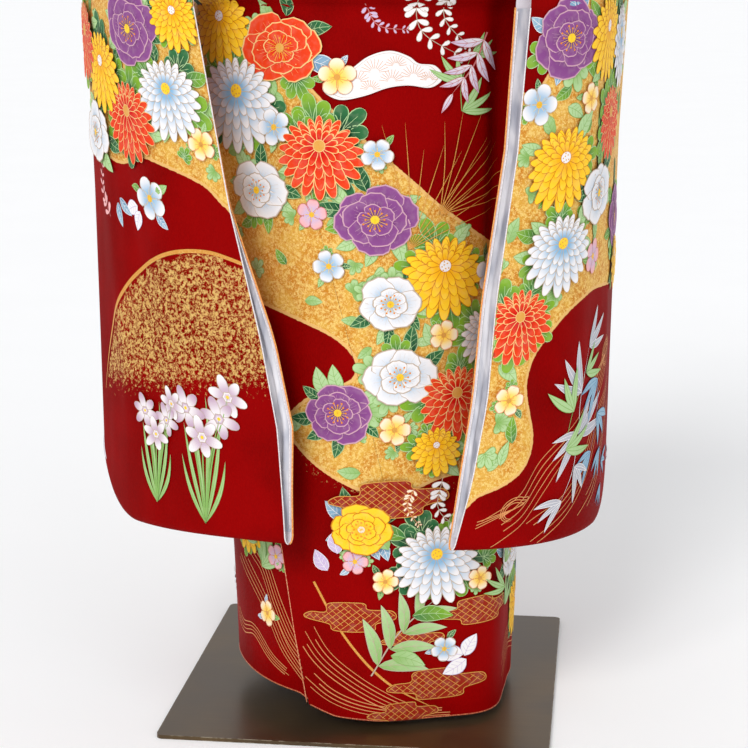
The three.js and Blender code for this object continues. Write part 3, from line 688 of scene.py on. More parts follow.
# ---------- the sleeves ----------
def sleeve_shell(side, material):
    sleeve = SLEEVES[side]
    edge = np.array([9, 6.4, 4, 2, 0.7, 0]) / sleeve.widths.mean()
    shares = np.concatenate([np.linspace(0, 1 - edge[0], 50), 1 - edge[1:]])
    low = [0, 0.7, 2, 4.2, 6.6, 9, 16]
    levels = list(np.arange(278, sleeve.top - 16, 12)) + [sleeve.top - d for d in (13, 9, 5, 2, 0.6, 0)]
    z = np.array([sleeve.bottom(shares) + rise for rise in low]
                 + [np.maximum(level, lerp(sleeve.bottom(shares) + 18, level, smoothstep(level, 278, 372)))
                    for level in levels])
    grids = []
    for layer in ("front", "back"):
        points = sleeve.point(layer, shares[None, :], z)
        s = shares[None, :] * sleeve.width(z)
        flip = (layer == "back") == (side == "left")
        grids.append((points, s, z, sleeve_ground(side, layer), flip))
    return cloth("silk_sleeve_" + side, grids, material)


# Wrinkles of the lining: mm from the inner edge, lean to the top, half width, height, lowest and highest z.
LINING_WRINKLES = (
    (4, 6, 1.5, 1.8, 300, 560), (9, -4, 1.7, 2.4, 262, 470), (13, 5, 1.9, 2.0, 380, 690),
    (7, 3, 1.5, 1.6, 480, 800), (18, -6, 2.1, 2.6, 280, 620), (25, 7, 2.8, 2.8, 260, 760),
    (3, 9, 1.2, 1.2, 262, 400), (14, -9, 1.3, 1.4, 420, 560),
)


def sleeve_lining(side, material):
    """The lining of the back layer, a strip with soft wrinkles behind the open inner edge."""
    sleeve = SLEEVES[side]
    s = np.concatenate([np.linspace(0.6, 24, 18), np.linspace(26, 66, 14)])
    z = np.arange(264, 884, 5.0)
    across, up = np.meshgrid(s, z)
    lift = 0.0
    for start, lean, width, height, low, high in LINING_WRINKLES:
        along = (up - low) / (high - low)
        fade = smoothstep(along, 0, 0.2) * (1 - smoothstep(along, 0.75, 1))
        lift = lift + height * fade * hump(across - start - lean * along, width)
    lift = lift * (1 if side == "right" else 0.4)
    points = sleeve.point("back", across / sleeve.width(up), up, -(CLOTH_WALL + 1.3 + lift))
    flip = side == "right"
    return cloth("lining_sleeve_" + side, [(points, across, up, plain_ground, flip)], material, 0.5)


def sleeve_edge(side, layer, out):
    """The line of a layer's open inner edge, from the bottom up to the armhole."""
    sleeve = SLEEVES[side]
    z = np.concatenate([sleeve.bottom(0) + np.array([0.3, 2, 5, 9, 16]), np.arange(272, 884, 8)])
    return sleeve.point(layer, np.full(len(z), -0.4) / sleeve.width(z), z, out)


# ---------- collar and sash ----------
COLLAR_HEIGHTS = (1012, 1028, 1045, 1056, 1067, 1078, 1088, 1099, CHEST_Z)
# Behind the neck, from the ridge down: the rise of the inner edge, and the outer edge's share and rise.
COLLAR_BACK = ((0.93, 0.66, 0.88), (0.85, 0.72, 0.76), (0.77, 0.84, 0.63))


def collar_side(side, shares, lift):
    sign, inset = (1, 0) if side == "left" else (-1, UNDER_INSET)
    rows = []
    for z in COLLAR_HEIGHTS:
        free = BODY.read("free" if side == "left" else "under", z)
        rows.append(body_point(free + sign * 15 * shares, np.float64(z), inset - lift))
    for rise in (0.1, 0.2, 0.3, 0.4, 0.5, 0.6, 0.7, 0.8, 0.87, 0.93, 1):
        rows.append(front_shoulder(side, 1 - shares * lerp(0.18, 0.36, rise), rise, -lift))
    for rise, outer_share, outer_rise in COLLAR_BACK:
        back = [back_shoulder(side, np.float64(lerp(1, outer_share, share)),
                              float(lerp(rise, outer_rise, share)), -(lift + 2.5)) for share in shares]
        rows.append(np.array(back))
    return rows


def collar_band(material):
    shares = np.linspace(0, 1, 9)
    lift = 3.5
    middle = []
    for share in shares:
        point = back_shoulder("left", np.float64(1), float(lerp(0.7, 0.5, share)), -(lift + 2.5))
        middle.append((0, point[1], point[2]))
    rows = collar_side("left", shares, lift) + [np.array(middle)]
    rows += collar_side("right", shares, lift)[::-1]
    points = np.array(rows)
    s, z = body_chart(points)
    return cloth("silk_collar", [(points, s, z, plain_ground, False)], material, 2.4)


def sash_band(material):
    turns = np.linspace(0, 360, 145)
    heights = np.array([985, 985.8, 988, 995, 1005, 1015, 1025, 1035, 1042, 1044.2, 1045])
    roll = 1.2 * (1 - np.array([1, 0.5, 0, 0, 0, 0, 0, 0, 0, 0.5, 1]))
    rows = []
    for height, out in zip(heights, roll):
        ripple = 0.5 * np.sin(np.radians(turns * 3 + height * 4))
        rows.append(body_point(turns, np.full(turns.shape, height), -(6.4 + out + ripple)))
    points = np.array(rows)
    s, z = body_chart(points)
    return cloth("sash_band", [(points, s, z, plain_ground, False)], material, 2.6)


# ---------- materials ----------
class Nodes:
    """A small helper that adds shader nodes to one material."""

    def __init__(self, name, roughness=0.5, **sockets):
        self.material = bpy.data.materials.new(name)
        self.material.use_nodes = True
        self.tree = self.material.node_tree
        self.shader = self.tree.nodes["Principled BSDF"]
        self.shader.inputs["Roughness"].default_value = roughness
        for socket, value in sockets.items():
            self.shader.inputs[socket.replace("_", " ")].default_value = value
        self.place = self.add("ShaderNodeTexCoord").outputs["Object"]

    def add(self, kind, **settings):
        node = self.tree.nodes.new(kind)
        for key, value in settings.items():
            setattr(node, key, value)
        return node

    def join(self, source, target):
        if isinstance(source, (int, float)):
            target.default_value = source
        elif isinstance(source, tuple):
            target.default_value = (*source, 1.0)[:len(target.default_value)]
        else:
            self.tree.links.new(source, target)

    def attribute(self, name, output="Fac"):
        return self.add("ShaderNodeAttribute", attribute_name=name).outputs[output]

    def noise(self, scale, detail=2.0, stretch=None, rough=0.5):
        node = self.add("ShaderNodeTexNoise")
        node.inputs["Scale"].default_value = scale
        node.inputs["Detail"].default_value = detail
        node.inputs["Roughness"].default_value = rough
        place = self.place
        if stretch:
            mapping = self.add("ShaderNodeMapping")
            mapping.inputs["Scale"].default_value = stretch
            self.join(self.place, mapping.inputs["Vector"])
            place = mapping.outputs["Vector"]
        self.join(place, node.inputs["Vector"])
        return node.outputs["Fac"]

    def bands(self, scale, distortion):
        """Level ribs, one over the other."""
        node = self.add("ShaderNodeTexWave", wave_type="BANDS", bands_direction="Z")
        node.inputs["Scale"].default_value = scale
        node.inputs["Distortion"].default_value = distortion
        self.join(self.place, node.inputs["Vector"])
        return node.outputs["Fac"]

    def math(self, operation, first, second=0.0, third=0.0):
        node = self.add("ShaderNodeMath", operation=operation)
        for value, socket in zip((first, second, third), node.inputs):
            self.join(value, socket)
        return node.outputs[0]

    def times(self, value, factor):
        return self.math("MULTIPLY", value, factor)

    def between(self, value, low, high):
        """0 below low and 1 above high, with a soft step."""
        node = self.add("ShaderNodeMapRange", interpolation_type="SMOOTHSTEP")
        self.join(value, node.inputs["Value"])
        self.join(low, node.inputs["From Min"])
        self.join(high, node.inputs["From Max"])
        return node.outputs["Result"]

    def patches(self, scale, low, high, detail=2.0, **kind):
        """Soft-edged patches of noise."""
        return self.between(self.noise(scale, detail, **kind), low, high)

    def mix(self, share, first, second):
        node = self.add("ShaderNodeMix", data_type="RGBA")
        self.join(share, node.inputs["Factor"])
        self.join(first, node.inputs["A"])
        self.join(second, node.inputs["B"])
        return node.outputs["Result"]

    def bump(self, height, strength, distance, over=None):
        """Relief on the surface, over an earlier and broader one if it is given."""
        node = self.add("ShaderNodeBump")
        node.inputs["Strength"].default_value = strength
        node.inputs["Distance"].default_value = distance
        self.join(height, node.inputs["Height"])
        if over is not None:
            self.join(over, node.inputs["Normal"])
        self.join(node.outputs["Normal"], self.shader.inputs["Normal"])
        return node.outputs["Normal"]

    def finish(self, colour, roughness=None, metallic=None):
        self.join(colour, self.shader.inputs["Base Color"])
        if roughness is not None:
            self.join(roughness, self.shader.inputs["Roughness"])
        if metallic is not None:
            self.join(metallic, self.shader.inputs["Metallic"])
        return self.material


def weave_height(nodes):
    """The crinkled crepe of the silk: fine yarns with a soft irregular grain."""
    yarns = nodes.noise(1500, 1.0, stretch=(1.0, 1.0, 0.35))
    return nodes.math("ADD", nodes.times(yarns, 0.5), nodes.times(nodes.noise(420), 0.5))


def silk_relief(nodes):
    """Soft upright ripples of hanging silk, and the crepe weave over them."""
    ripples = nodes.bump(nodes.noise(17, 2.0, stretch=(1.0, 1.0, 0.22)), 0.5, 0.005)
    nodes.bump(weave_height(nodes), 0.35, 0.0006, over=ripples)


# Flakes of old gold leaf: noise scale, detail and roughness, low and high, how much shows, and colour.
GOLD_FLAKES = (
    (240, 4.0, 0.75, 0.46, 0.58, 0.78, (242, 208, 122)),
    (330, 4.0, 0.7, 0.54, 0.66, 0.62, (204, 120, 36)),
    (560, 3.0, 0.8, 0.56, 0.64, 0.6, (250, 230, 162)),
)


def gold_colour(nodes):
    """Old gold leaf: broad patches of brown-gold, with paler and browner flakes over them."""
    colour = nodes.mix(nodes.patches(44, 0.36, 0.64, 3.0), linear(204, 132, 40), linear(222, 168, 70))
    for scale, detail, rough, low, high, share, tone in GOLD_FLAKES:
        flakes = nodes.patches(scale, low, high, detail, rough=rough)
        colour = nodes.mix(nodes.times(flakes, share), colour, linear(*tone))
    return colour


def silk_material():
    nodes = Nodes("crimson_silk", Sheen_Weight=0.01, Sheen_Roughness=0.3, Specular_IOR_Level=0.025)
    nodes.shader.inputs["Sheen Tint"].default_value = (1.0, 0.45, 0.35, 1.0)
    red = nodes.mix(nodes.patches(9, 0.35, 0.65), linear(118, 0, 0), linear(136, 0, 1))
    thread = nodes.patches(900, 0.3, 0.7, 1.0, stretch=(1.0, 1.0, 0.3))
    red = nodes.mix(nodes.times(thread, 0.18), red, linear(170, 5, 3))
    gold = gold_colour(nodes)
    edge = nodes.times(nodes.math("SUBTRACT", nodes.noise(260), 0.5), 2.2)
    cloud = nodes.math("ADD", nodes.attribute("cloud"), edge)
    on_gold = nodes.between(cloud, -0.35, 0.35)
    rim = nodes.math("MULTIPLY", on_gold, nodes.between(cloud, 4.2, 3.4))
    gold = nodes.mix(rim, gold, linear(232, 184, 112))
    specks = nodes.between(nodes.math("SUBTRACT", nodes.attribute("dust"), nodes.noise(210, 4.0, rough=0.85)),
                           -0.03, 0.05)
    gilt = nodes.math("MAXIMUM", on_gold, specks)
    loose = nodes.times(nodes.math("SUBTRACT", 1.0, on_gold), 0.65)
    outside = nodes.mix(gilt, red, nodes.mix(loose, gold, linear(208, 174, 108)))
    lining = nodes.mix(nodes.noise(60), linear(206, 198, 206), linear(232, 226, 230))
    inside = nodes.between(nodes.attribute("inside"), 0.4, 0.6)
    gilt = nodes.math("MULTIPLY", gilt, nodes.math("SUBTRACT", 1.0, inside))
    silk_relief(nodes)
    return nodes.finish(
        nodes.mix(inside, outside, lining),
        roughness=nodes.math("SUBTRACT", 0.56, nodes.times(gilt, 0.12)),
        metallic=nodes.times(gilt, 0.25),
    )


def painted_material():
    """The dyed and stencilled motifs: their colour is on the mesh, and gold ones shine."""
    nodes = Nodes("painted_motifs", Sheen_Weight=0.03, Sheen_Roughness=0.3, Specular_IOR_Level=0.1)
    nodes.shader.inputs["Sheen Tint"].default_value = (1.0, 0.95, 0.9, 1.0)
    paint = nodes.attribute("paint", "Color")
    leaf = nodes.attribute("leaf")
    faded = nodes.times(nodes.patches(120, 0.4, 0.75), 0.07)
    paint = nodes.mix(faded, paint, linear(236, 222, 200))
    worn = nodes.patches(900, 0.5, 0.75, rough=0.7)
    gold = nodes.mix(worn, linear(214, 148, 66), linear(240, 200, 128))
    silk_relief(nodes)
    return nodes.finish(
        nodes.mix(leaf, paint, gold),
        roughness=nodes.math("SUBTRACT", 0.55, nodes.times(leaf, 0.15)),
        metallic=nodes.times(leaf, 0.3),
    )


def lining_material():
    nodes = Nodes("white_satin_lining", 0.42, Sheen_Weight=0.2, Sheen_Roughness=0.35)
    # Upright grey patches over the white satin: painted shade of the soft wrinkles, with the lining's own
    # slight blue tint.
    tone = nodes.patches(70, 0.35, 0.65, stretch=(1.0, 1.0, 0.25))
    nodes.bump(nodes.noise(1600, 1.0, stretch=(1.0, 1.0, 0.2)), 0.25, 0.0004)
    return nodes.finish(nodes.mix(tone, linear(176, 178, 190), linear(232, 230, 234)))


def cord_material(name, low, high):
    """A rolled cloth edge, with its fine twist."""
    nodes = Nodes(name, 0.5, Sheen_Weight=0.15, Sheen_Roughness=0.4)
    twist = nodes.noise(700, stretch=(1.0, 1.0, 0.6))
    nodes.bump(twist, 0.3, 0.0004)
    return nodes.finish(nodes.mix(nodes.between(twist, 0.35, 0.65), linear(*low), linear(*high)))


def ribbed_silk_material():
    """Gold silk of the sash and collar: fine level ribs, slubs and slightly uneven dye."""
    nodes = Nodes("gold_ribbed_silk", 0.46, Sheen_Weight=0.1, Sheen_Roughness=0.35, Metallic=0.15)
    ribs = nodes.bands(160, 0.6)
    slubs = nodes.patches(60, 0.38, 0.62, 4.0, stretch=(0.5, 0.5, 6.0), rough=0.7)
    tone = nodes.mix(slubs, linear(186, 124, 52), linear(222, 170, 92))
    nodes.bump(nodes.math("ADD", ribs, nodes.noise(700)), 0.45, 0.0008)
    return nodes.finish(nodes.mix(nodes.times(ribs, 0.3), tone, linear(240, 204, 130)))


def jersey_material():
    nodes = Nodes("form_jersey", 0.85, Sheen_Weight=0.3, Sheen_Roughness=0.6)
    nodes.bump(nodes.bands(420, 2.0), 0.35, 0.0006)
    return nodes.finish(nodes.mix(nodes.noise(25, 3.0), linear(196, 182, 158), linear(218, 206, 184)))


def plate_material():
    """Dark lacquered steel, brushed one way, with wear near its edges."""
    nodes = Nodes("lacquered_steel", Metallic=0.55, Coat_Weight=0.18, Coat_Roughness=0.2)
    brush = nodes.noise(160, 3.0, stretch=(0.06, 1.0, 1.0))
    cloud = nodes.noise(7, 3.0)
    colour = nodes.mix(nodes.between(cloud, 0.35, 0.7), linear(78, 60, 36), linear(100, 78, 46))
    colour = nodes.mix(nodes.times(brush, 0.35), colour, linear(58, 44, 26))
    bevel = nodes.add("ShaderNodeBevel", samples=4)
    bevel.inputs["Radius"].default_value = 0.002
    geometry = nodes.add("ShaderNodeNewGeometry")
    turn = nodes.add("ShaderNodeVectorMath", operation="DOT_PRODUCT")
    nodes.join(bevel.outputs["Normal"], turn.inputs[0])
    nodes.join(geometry.outputs["True Normal"], turn.inputs[1])
    worn = nodes.times(nodes.between(turn.outputs["Value"], 0.99, 0.9), nodes.patches(90, 0.45, 0.6, 3.0))
    colour = nodes.mix(worn, colour, linear(168, 158, 136))
    nodes.bump(brush, 0.12, 0.0003)
    return nodes.finish(colour, roughness=nodes.math("ADD", 0.24, nodes.times(cloud, 0.2)))


def steel_material():
    nodes = Nodes("pole_steel", Metallic=0.85)
    brush = nodes.noise(240, 3.0, stretch=(1.0, 1.0, 0.05))
    colour = nodes.mix(brush, linear(98, 96, 92), linear(150, 148, 142))
    nodes.bump(brush, 0.15, 0.0003)
    return nodes.finish(colour, roughness=nodes.math("ADD", 0.28, nodes.times(brush, 0.2)))


# ---------- painted motifs ----------
INK = {
    "white": (240, 236, 236), "cream": (246, 232, 206), "red": (206, 14, 8), "deep_red": (158, 2, 6),
    "vermilion": (230, 66, 26), "orange": (236, 140, 30), "yellow": (255, 206, 44), "gold": (222, 160, 74),
    "pale_gold": (240, 200, 130), "pink": (240, 178, 178), "purple": (138, 76, 138), "plum": (88, 34, 92),
    "lilac": (200, 182, 214), "blue": (92, 134, 170), "pale_blue": (150, 186, 206), "green": (52, 112, 66),
    "dark_green": (12, 62, 40), "light_green": (132, 174, 92), "lime": (128, 172, 44),
    "mint": (176, 208, 150),
    "salmon": (215, 140, 90), "grey": (170, 172, 182), "ochre": (206, 126, 20), "taupe": (188, 168, 148),
    "brick": (150, 34, 16), "mauve": (206, 160, 176), "wisteria": (188, 156, 180), "rose": (196, 110, 110),
    "amber": (244, 176, 20), "sky": (132, 178, 212),
}
INK = {name: np.array(linear(*colour)) for name, colour in INK.items()}
LIFT = 0.35                        # the lowest motifs over the cloth, in millimetres
LEVEL = 0.06                       # and each level over the last
FULL = 2 * math.pi


class Paint:
    """Motifs on one skin: small grids of points on the chart, each lifted a little over the last."""

    def __init__(self, skin, flip, seed, lowest=24):
        self.skin, self.flip, self.lowest = skin, flip, lowest
        self.random = random.Random(seed)
        self.patches = []
        self.placed = []
        self.level = self.ground = 0

    def start(self, s, z, radius):
        """The next motif goes above the ones that it overlaps."""
        under = [top for x, y, reach, top in self.placed if math.hypot(x - s, y - z) < reach + radius]
        self.level = max(under + [self.ground]) + 1
        self.placed.append([s, z, radius, self.level])

    def settle(self):
        """All that comes later goes above all that is there now."""
        self.ground = max([self.ground] + [top for _, _, _, top in self.placed])

    def above(self, levels=1):
        self.level += levels
        self.placed[-1][3] = max(self.placed[-1][3], self.level)

    def patch(self, s, z, colour, leaf=0.0):
        colour = np.broadcast_to(np.asarray(colour, float), np.shape(s) + (3,))
        self.patches.append((np.asarray(s, float), np.asarray(z, float), colour, leaf, self.level))

    def blob(self, s, z, radius_at, colour, edge=None, line=None, leaf=0.0, columns=28, line_width=0.9):
        """A filled shape around a middle, from its radius at each angle, with an outline if one is given."""
        angle = np.linspace(0, FULL, columns + 1)
        radius = radius_at(angle)
        rows = max(1, int(np.ceil(radius.max() / 5)))
        share = list(np.linspace(0, 1, rows + 1))
        edge = colour if edge is None else edge
        tint = [lerp(colour, edge, step ** 1.6) for step in share]
        if line is not None:
            inner = 1 - line_width / max(radius.mean(), 2)
            share = [step * (inner - 0.02) for step in share] + [inner, 1.0]
            tint = tint + [line, line]
        share = np.array(share)[:, None]
        tint = np.array(tint)[:, None, :] * np.ones((1, columns + 1, 1))
        self.patch(s + share * radius * np.cos(angle), z + share * radius * np.sin(angle), tint, leaf)

    def dot(self, s, z, radius, colour, columns=6, **look):
        self.blob(s, z, lambda angle: radius + 0 * angle, colour, columns=columns, **look)

    def ribbon(self, points, width, colour, leaf=0.0, taper=False, steps=5):
        """A line of paint along a smooth path."""
        points = np.array(points, float)
        longest = np.hypot(*np.diff(points, axis=0).T).max()
        path = smooth_curve(points, max(steps, int(np.ceil(longest / 6))))
        along = np.gradient(path, axis=0)
        along /= np.maximum(np.linalg.norm(along, axis=1, keepdims=True), 1e-6)
        half = np.full(len(path), width / 2)
        if taper:
            half = half * np.clip(np.minimum(1, (1 - np.linspace(0, 1, len(path))) * 2.5 + 0.15), 0.15, 1)
        across = np.stack([-along[:, 1], along[:, 0]], axis=1) * half[:, None]
        sides = np.stack([path - across, path + across])
        self.patch(sides[..., 0], sides[..., 1], colour, leaf)

    def petal(self, s, z, angle, start, end, width, inner, outer, line, line_width=0.6, blunt=0.6, bend=0.0,
              shade=0.1):
        """One petal with a thin outline, from its root to its tip."""
        if end > 30:
            share = np.array([0, 0.18, 0.36, 0.54, 0.7, 0.83, 0.92, 0.97, 1.0])
        elif end > 12:
            share = np.array([0, 0.36, 0.66, 0.86, 0.96, 1.0])
        else:
            share = np.array([0, 0.5, 0.84, 1.0])
        body = 0.26 + 0.74 * np.sin(np.clip(share / blunt, 0, 1) * math.pi / 2) ** 1.2
        cap = np.sqrt(np.clip(1 - (np.clip(share - blunt, 0, 1) / (1 - blunt)) ** 2, 0, 1))
        half = np.maximum(width / 2 * body * cap, 0.02)
        reach = start + (end - start) * share
        fill = np.clip(1 - line_width / half, 0, 1)
        across = np.stack([-np.ones(len(share)), -fill, -fill * 0.9, fill * 0.9, fill, np.ones(len(share))])
        out = half * across + bend * (reach / max(end, 1)) ** 2
        along = np.broadcast_to(reach, across.shape)
        cos, sin = math.cos(angle), math.sin(angle)
        tone = smoothstep(share, shade, 0.95)
        tint = lerp(inner, outer, np.broadcast_to(tone[None, :, None], across.shape + (3,)))
        edged = np.zeros(across.shape, bool)
        edged[[0, 1, 4, 5]] = True
        edged[:, reach > end - line_width * 1.3] = True
        tint = np.where(edged[..., None], line, tint)
        self.patch(s + along * cos - out * sin, z + along * sin + out * cos, tint)

    # ----- flowers -----
    def mum(self, s, z, radius, inner, outer, line, centre):
        """A chrysanthemum seen a little from above: long petals below, a high middle above."""
        self.start(s, z, radius)
        count = 20 if radius > 36 else 16
        rise = radius * 0.16
        for ring, share in enumerate((1.0, 0.84, 0.66, 0.48)):
            petals = count - 2 * ring
            for k in range(petals):
                angle = FULL * (k + 0.5 * (ring % 2)) / petals
                longer = 1 - 0.20 * math.sin(angle) * (1 - 0.5 * ring / 3) + self.random.uniform(-0.03, 0.03)
                end = radius * share * longer
                self.level += 0.5 if k % 2 else -0.5 if k else 0
                bend = self.random.uniform(-1.5, 1.5)
                self.petal(s, z + rise * (1 - share), angle, radius * 0.05, end, FULL * end * 0.80 / petals,
                           inner, outer, line, 0.35 + radius * 0.006, 0.66, bend, 0.42)
            self.above(2)
        middle = z + rise * 0.62
        self.dot(s, middle, radius * 0.15, centre, 16, line=line, line_width=0.6)
        self.above()
        for k in range(1, 8):
            self.dot(*polar(s, middle, radius * 0.042 * math.sqrt(k), k * 2.4), radius * 0.02, INK["gold"])

    def peony(self, s, z, radius, inner, outer, line, centre, petals=6, rings=3):
        """A full round flower of broad notched petals, open to its stamens."""
        self.start(s, z, radius)
        turn = self.random.random() * FULL
        flat = self.random.uniform(0.80, 0.92)
        around = np.linspace(0, FULL, 23)
        for ring in range(rings):
            reach = radius * (1 - (0.27 if rings > 2 else 0.42) * ring)
            count = petals - (ring == 2)
            for k in range(count):
                angle = turn + FULL * (k + 0.5 * ring) / count + self.random.uniform(-0.16, 0.16)
                size = reach * self.random.uniform(0.46, 0.62)
                notch, deep = self.random.uniform(-0.4, 0.4), self.random.uniform(0.12, 0.22)
                outward = np.cos(around - angle)
                past = around - angle - notch
                edge = size * (0.80 + 0.20 * outward + 0.07 * np.cos(6 * past) * (outward > 0)
                               - deep * np.exp(-((past + math.pi) % FULL - math.pi) ** 2 / 0.04))
                root = polar(s, z, 0.10 * reach, angle)
                tip_s = s + 0.44 * reach * math.cos(angle) + edge * np.cos(around)
                tip_z = z + flat * (0.44 * reach * math.sin(angle) + edge * np.sin(around))
                inset = 1 - 0.7 / size
                share = np.array([0, 0.3, 0.6, inset - 0.03, inset, 1.0])[:, None]
                tone = smoothstep(share, 0.2, 0.82)[..., None] * np.ones((1, len(around), 3))
                tint = lerp(lerp(inner, outer, 0.12 * ring), outer, tone)
                tint = np.where((np.arange(6) >= 4)[:, None, None], line, tint)
                self.patch(lerp(root[0], tip_s, share), lerp(root[1], tip_z, share), tint)
                self.above()
                self.level -= 0.5
                for fan in (-0.34, -0.12, 0.12, 0.34):
                    way = angle + fan
                    low, high = 0.30, self.random.uniform(0.60, 0.78)
                    self.ribbon([(s + low * reach * math.cos(way), z + flat * low * reach * math.sin(way)),
                                 (s + high * reach * math.cos(angle + fan * 0.8),
                                  z + flat * high * reach * math.sin(angle + fan * 0.8))],
                                0.4, lerp(line, outer, 0.55), steps=3)
                self.level += 0.5
        self.above()
        self.blob(s, z, lambda a: radius * 0.10 * (1 + 0.08 * np.sin(7 * a)), centre, columns=16)
        for k in range(16):
            tip = polar(s, z, radius * (0.21 + 0.07 * (k % 2)), FULL * k / 16)
            self.ribbon([(s, z), tip], 0.5, INK["yellow"], leaf=0.4, steps=3)
            self.dot(*tip, 1.2, INK["orange"])

    def blossom(self, s, z, radius, inner, outer, line, centre, turn=0.3):
        """A small five-petalled blossom."""
        self.start(s, z, radius)
        for k in range(5):
            self.petal(s, z, turn + FULL * k / 5, radius * 0.06, radius, radius * 0.86, inner, outer, line)
        self.above()
        self.dot(s, z, radius * 0.17, centre, 14, leaf=0.5)
        for k in range(8):
            self.ribbon([(s, z), polar(s, z, radius * 0.42, FULL * k / 8)], 0.45, centre, steps=2)

    # ----- leaves and stems -----
    def leaf(self, s, z, length, angle, width, inner, outer, line, bend=0.0, veins=3):
        self.start(*polar(s, z, length / 2, angle), length / 2)
        share = np.linspace(0, 1, 9)
        profile = np.maximum(np.sin(math.pi * share ** 0.8) ** 0.85, 0.01)
        cos, sin = math.cos(angle), math.sin(angle)

        def turned(along, out):
            out = out + bend * np.sin(math.pi * along / length)
            return s + along * cos - out * sin, z + along * sin + out * cos

        half = width / 2 * profile
        fill = np.clip(1 - 0.5 / half, 0, 1)
        ends = np.ones(len(share))
        across = np.stack([-ends, -fill, -fill * 0.92, 0 * fill, 0.03 * fill, fill * 0.92, fill, ends])
        along = np.broadcast_to(length * share, across.shape)
        tint = lerp(inner, outer, np.broadcast_to(share[None, :, None], across.shape + (3,)))
        tint = np.where((np.arange(8) < 4)[:, None, None], tint, lerp(tint, outer, 0.35))
        tint = np.where(np.isin(np.arange(8), (0, 1, 6, 7))[:, None, None], line, tint)
        self.patch(*turned(along, half * across), tint)
        self.above()
        middle = np.linspace(0.03, 0.93, 5) * length
        self.ribbon(np.stack(turned(middle, middle * 0), axis=1), 0.6, line, steps=2)
        for k in range(veins):
            root = length * (0.2 + 0.55 * k / max(veins, 1))
            for side in (-1, 1):
                ends = np.array([root, root + 0.16 * length])
                out = np.array([0, side * width * 0.36])
                self.ribbon(np.stack(turned(ends, out), axis=1), 0.4, line, steps=2)

    def lobed_leaf(self, s, z, size, angle, inner, outer, line):
        """A chrysanthemum leaf with five rounded lobes."""
        self.start(s, z, size)
        for k in (2, -2, 1, -1, 0):
            reach = size * (1 - 0.17 * abs(k))
            self.petal(s, z, angle + 0.72 * k, 0, reach, size * 0.46, inner, outer, line, blunt=0.7)
        self.above()
        for k in (-2, -1, 0, 1, 2):
            tip = polar(s, z, size * (0.72 - 0.13 * abs(k)), angle + 0.72 * k)
            self.ribbon([(s, z), tip], 0.5, line, steps=2)

    def stem(self, points, width, colour, leaf=0.0):
        middle = np.mean(np.array(points, float), axis=0)
        self.start(*middle, 4)
        self.ribbon(points, width, colour, leaf, taper=True)

    def spray(self, points, size, colour, line, pairs=9):
        """A hanging stem with small petals on both sides, smaller towards its tip."""
        path = smooth_curve(points, 8)
        self.start(*path[len(path) // 2], size)
        self.ribbon(points, 0.9, line, taper=True)
        for k in range(pairs):
            place = int((k + 0.6) / pairs * len(path))
            at = path[min(place, len(path) - 2)]
            way = path[min(place + 1, len(path) - 1)] - at
            along = math.atan2(way[1], way[0])
            small = size * (1 - 0.55 * k / pairs)
            for side in (-1, 1):
                self.petal(*at, along + side * 0.95, 0.4, small, small * 0.5, colour, colour, line,
                           0.45, 0.62)

    def bamboo(self, s, z, size, angle, colour, line, leaves=3):
        """A thin bent stem with groups of long narrow leaves."""
        stem = np.array([(s, z), polar(s, z, 0.5 * size, angle + 0.2), polar(s, z, size, angle)])
        self.stem(stem, 1.0, line)
        for node, reach in ((0, 0.95), (1, 0.8), (2, 0.7)):
            side = 1 if node % 2 else -1
            for k in range(leaves):
                way = angle + side * (0.35 + 0.5 * k)
                length = size * reach * self.random.uniform(0.6, 0.8)
                self.leaf(*stem[node], length, way, length * 0.20, colour, lerp(colour, line, 0.25), line,
                          bend=length * 0.05 * side, veins=0)

    def iris(self, s, z, size, outer, inner, line):
        """A white flower of six pointed petals round a small cup, on straight green stalks."""
        self.start(s, z, size)
        for k in range(6):
            self.level += 0.5 if k % 2 else -0.5 if k else 0
            reach = size * (0.9 + 0.1 * (k % 2))
            self.petal(s, z, 0.3 + FULL * k / 6, 0, reach, size * 0.52, inner, outer, line, 0.5, 0.5)
        self.above()
        self.blob(s, z, lambda a: size * (0.24 + 0.03 * np.cos(6 * a)), inner, outer, line, columns=18)
        self.above()
        self.dot(s, z, size * 0.08, INK["yellow"], 8)

    def irises(self, s, z, height, size):
        """A clump of blades from one foot, with white and lilac flowers on thin stalks."""
        blades = ((-0.40, 0.62), (-0.24, 0.95), (-0.11, 1.14), (0.03, 1.0), (0.17, 0.88), (0.33, 0.62))
        for lean, reach in blades:
            self.blade(s, z, reach * height, lean, -16 * lean)
        for across, up, outer, inner in (
            (-0.34, 1.14, "white", "wisteria"), (-0.22, 0.94, "wisteria", "white"),
            (0.10, 1.0, "wisteria", "white"), (-0.04, 0.76, "white", "wisteria"),
        ):
            at = (s + across * height, z + up * height)
            middle = (s + 0.4 * across * height, z + 0.55 * up * height)
            self.stem([(s, z), middle, at], 2.0, INK["light_green"])
            self.iris(*at, size, INK[outer], INK[inner], INK["taupe"])

    def blade(self, s, z, length, lean, bend):
        self.leaf(s, z, length, math.pi / 2 - lean, 5.6, *inks(LEAVES, "light"), bend=bend, veins=0)

    def long_leaves(self, s, z, size, angle, inner, outer, line, pairs=4):
        """A stem with pairs of long pointed leaves and one at its tip."""
        tip = polar(s, z, size, angle)
        self.stem([(s, z), polar(s, z, 0.5 * size, angle + 0.14), tip], 1.8, line)
        for k in range(pairs):
            share = 0.12 + 0.8 * k / pairs
            at = polar(s, z, share * size, angle + 0.14 * (1 - share))
            length = size * (0.50 - 0.16 * k / pairs)
            for side in (-1, 1):
                self.leaf(*at, length, angle + side * (1.0 - 0.1 * k), length * 0.27, inner, outer, line,
                          bend=-side * length * 0.06, veins=2)
        self.leaf(*tip, size * 0.32, angle, size * 0.09, inner, outer, line, veins=0)

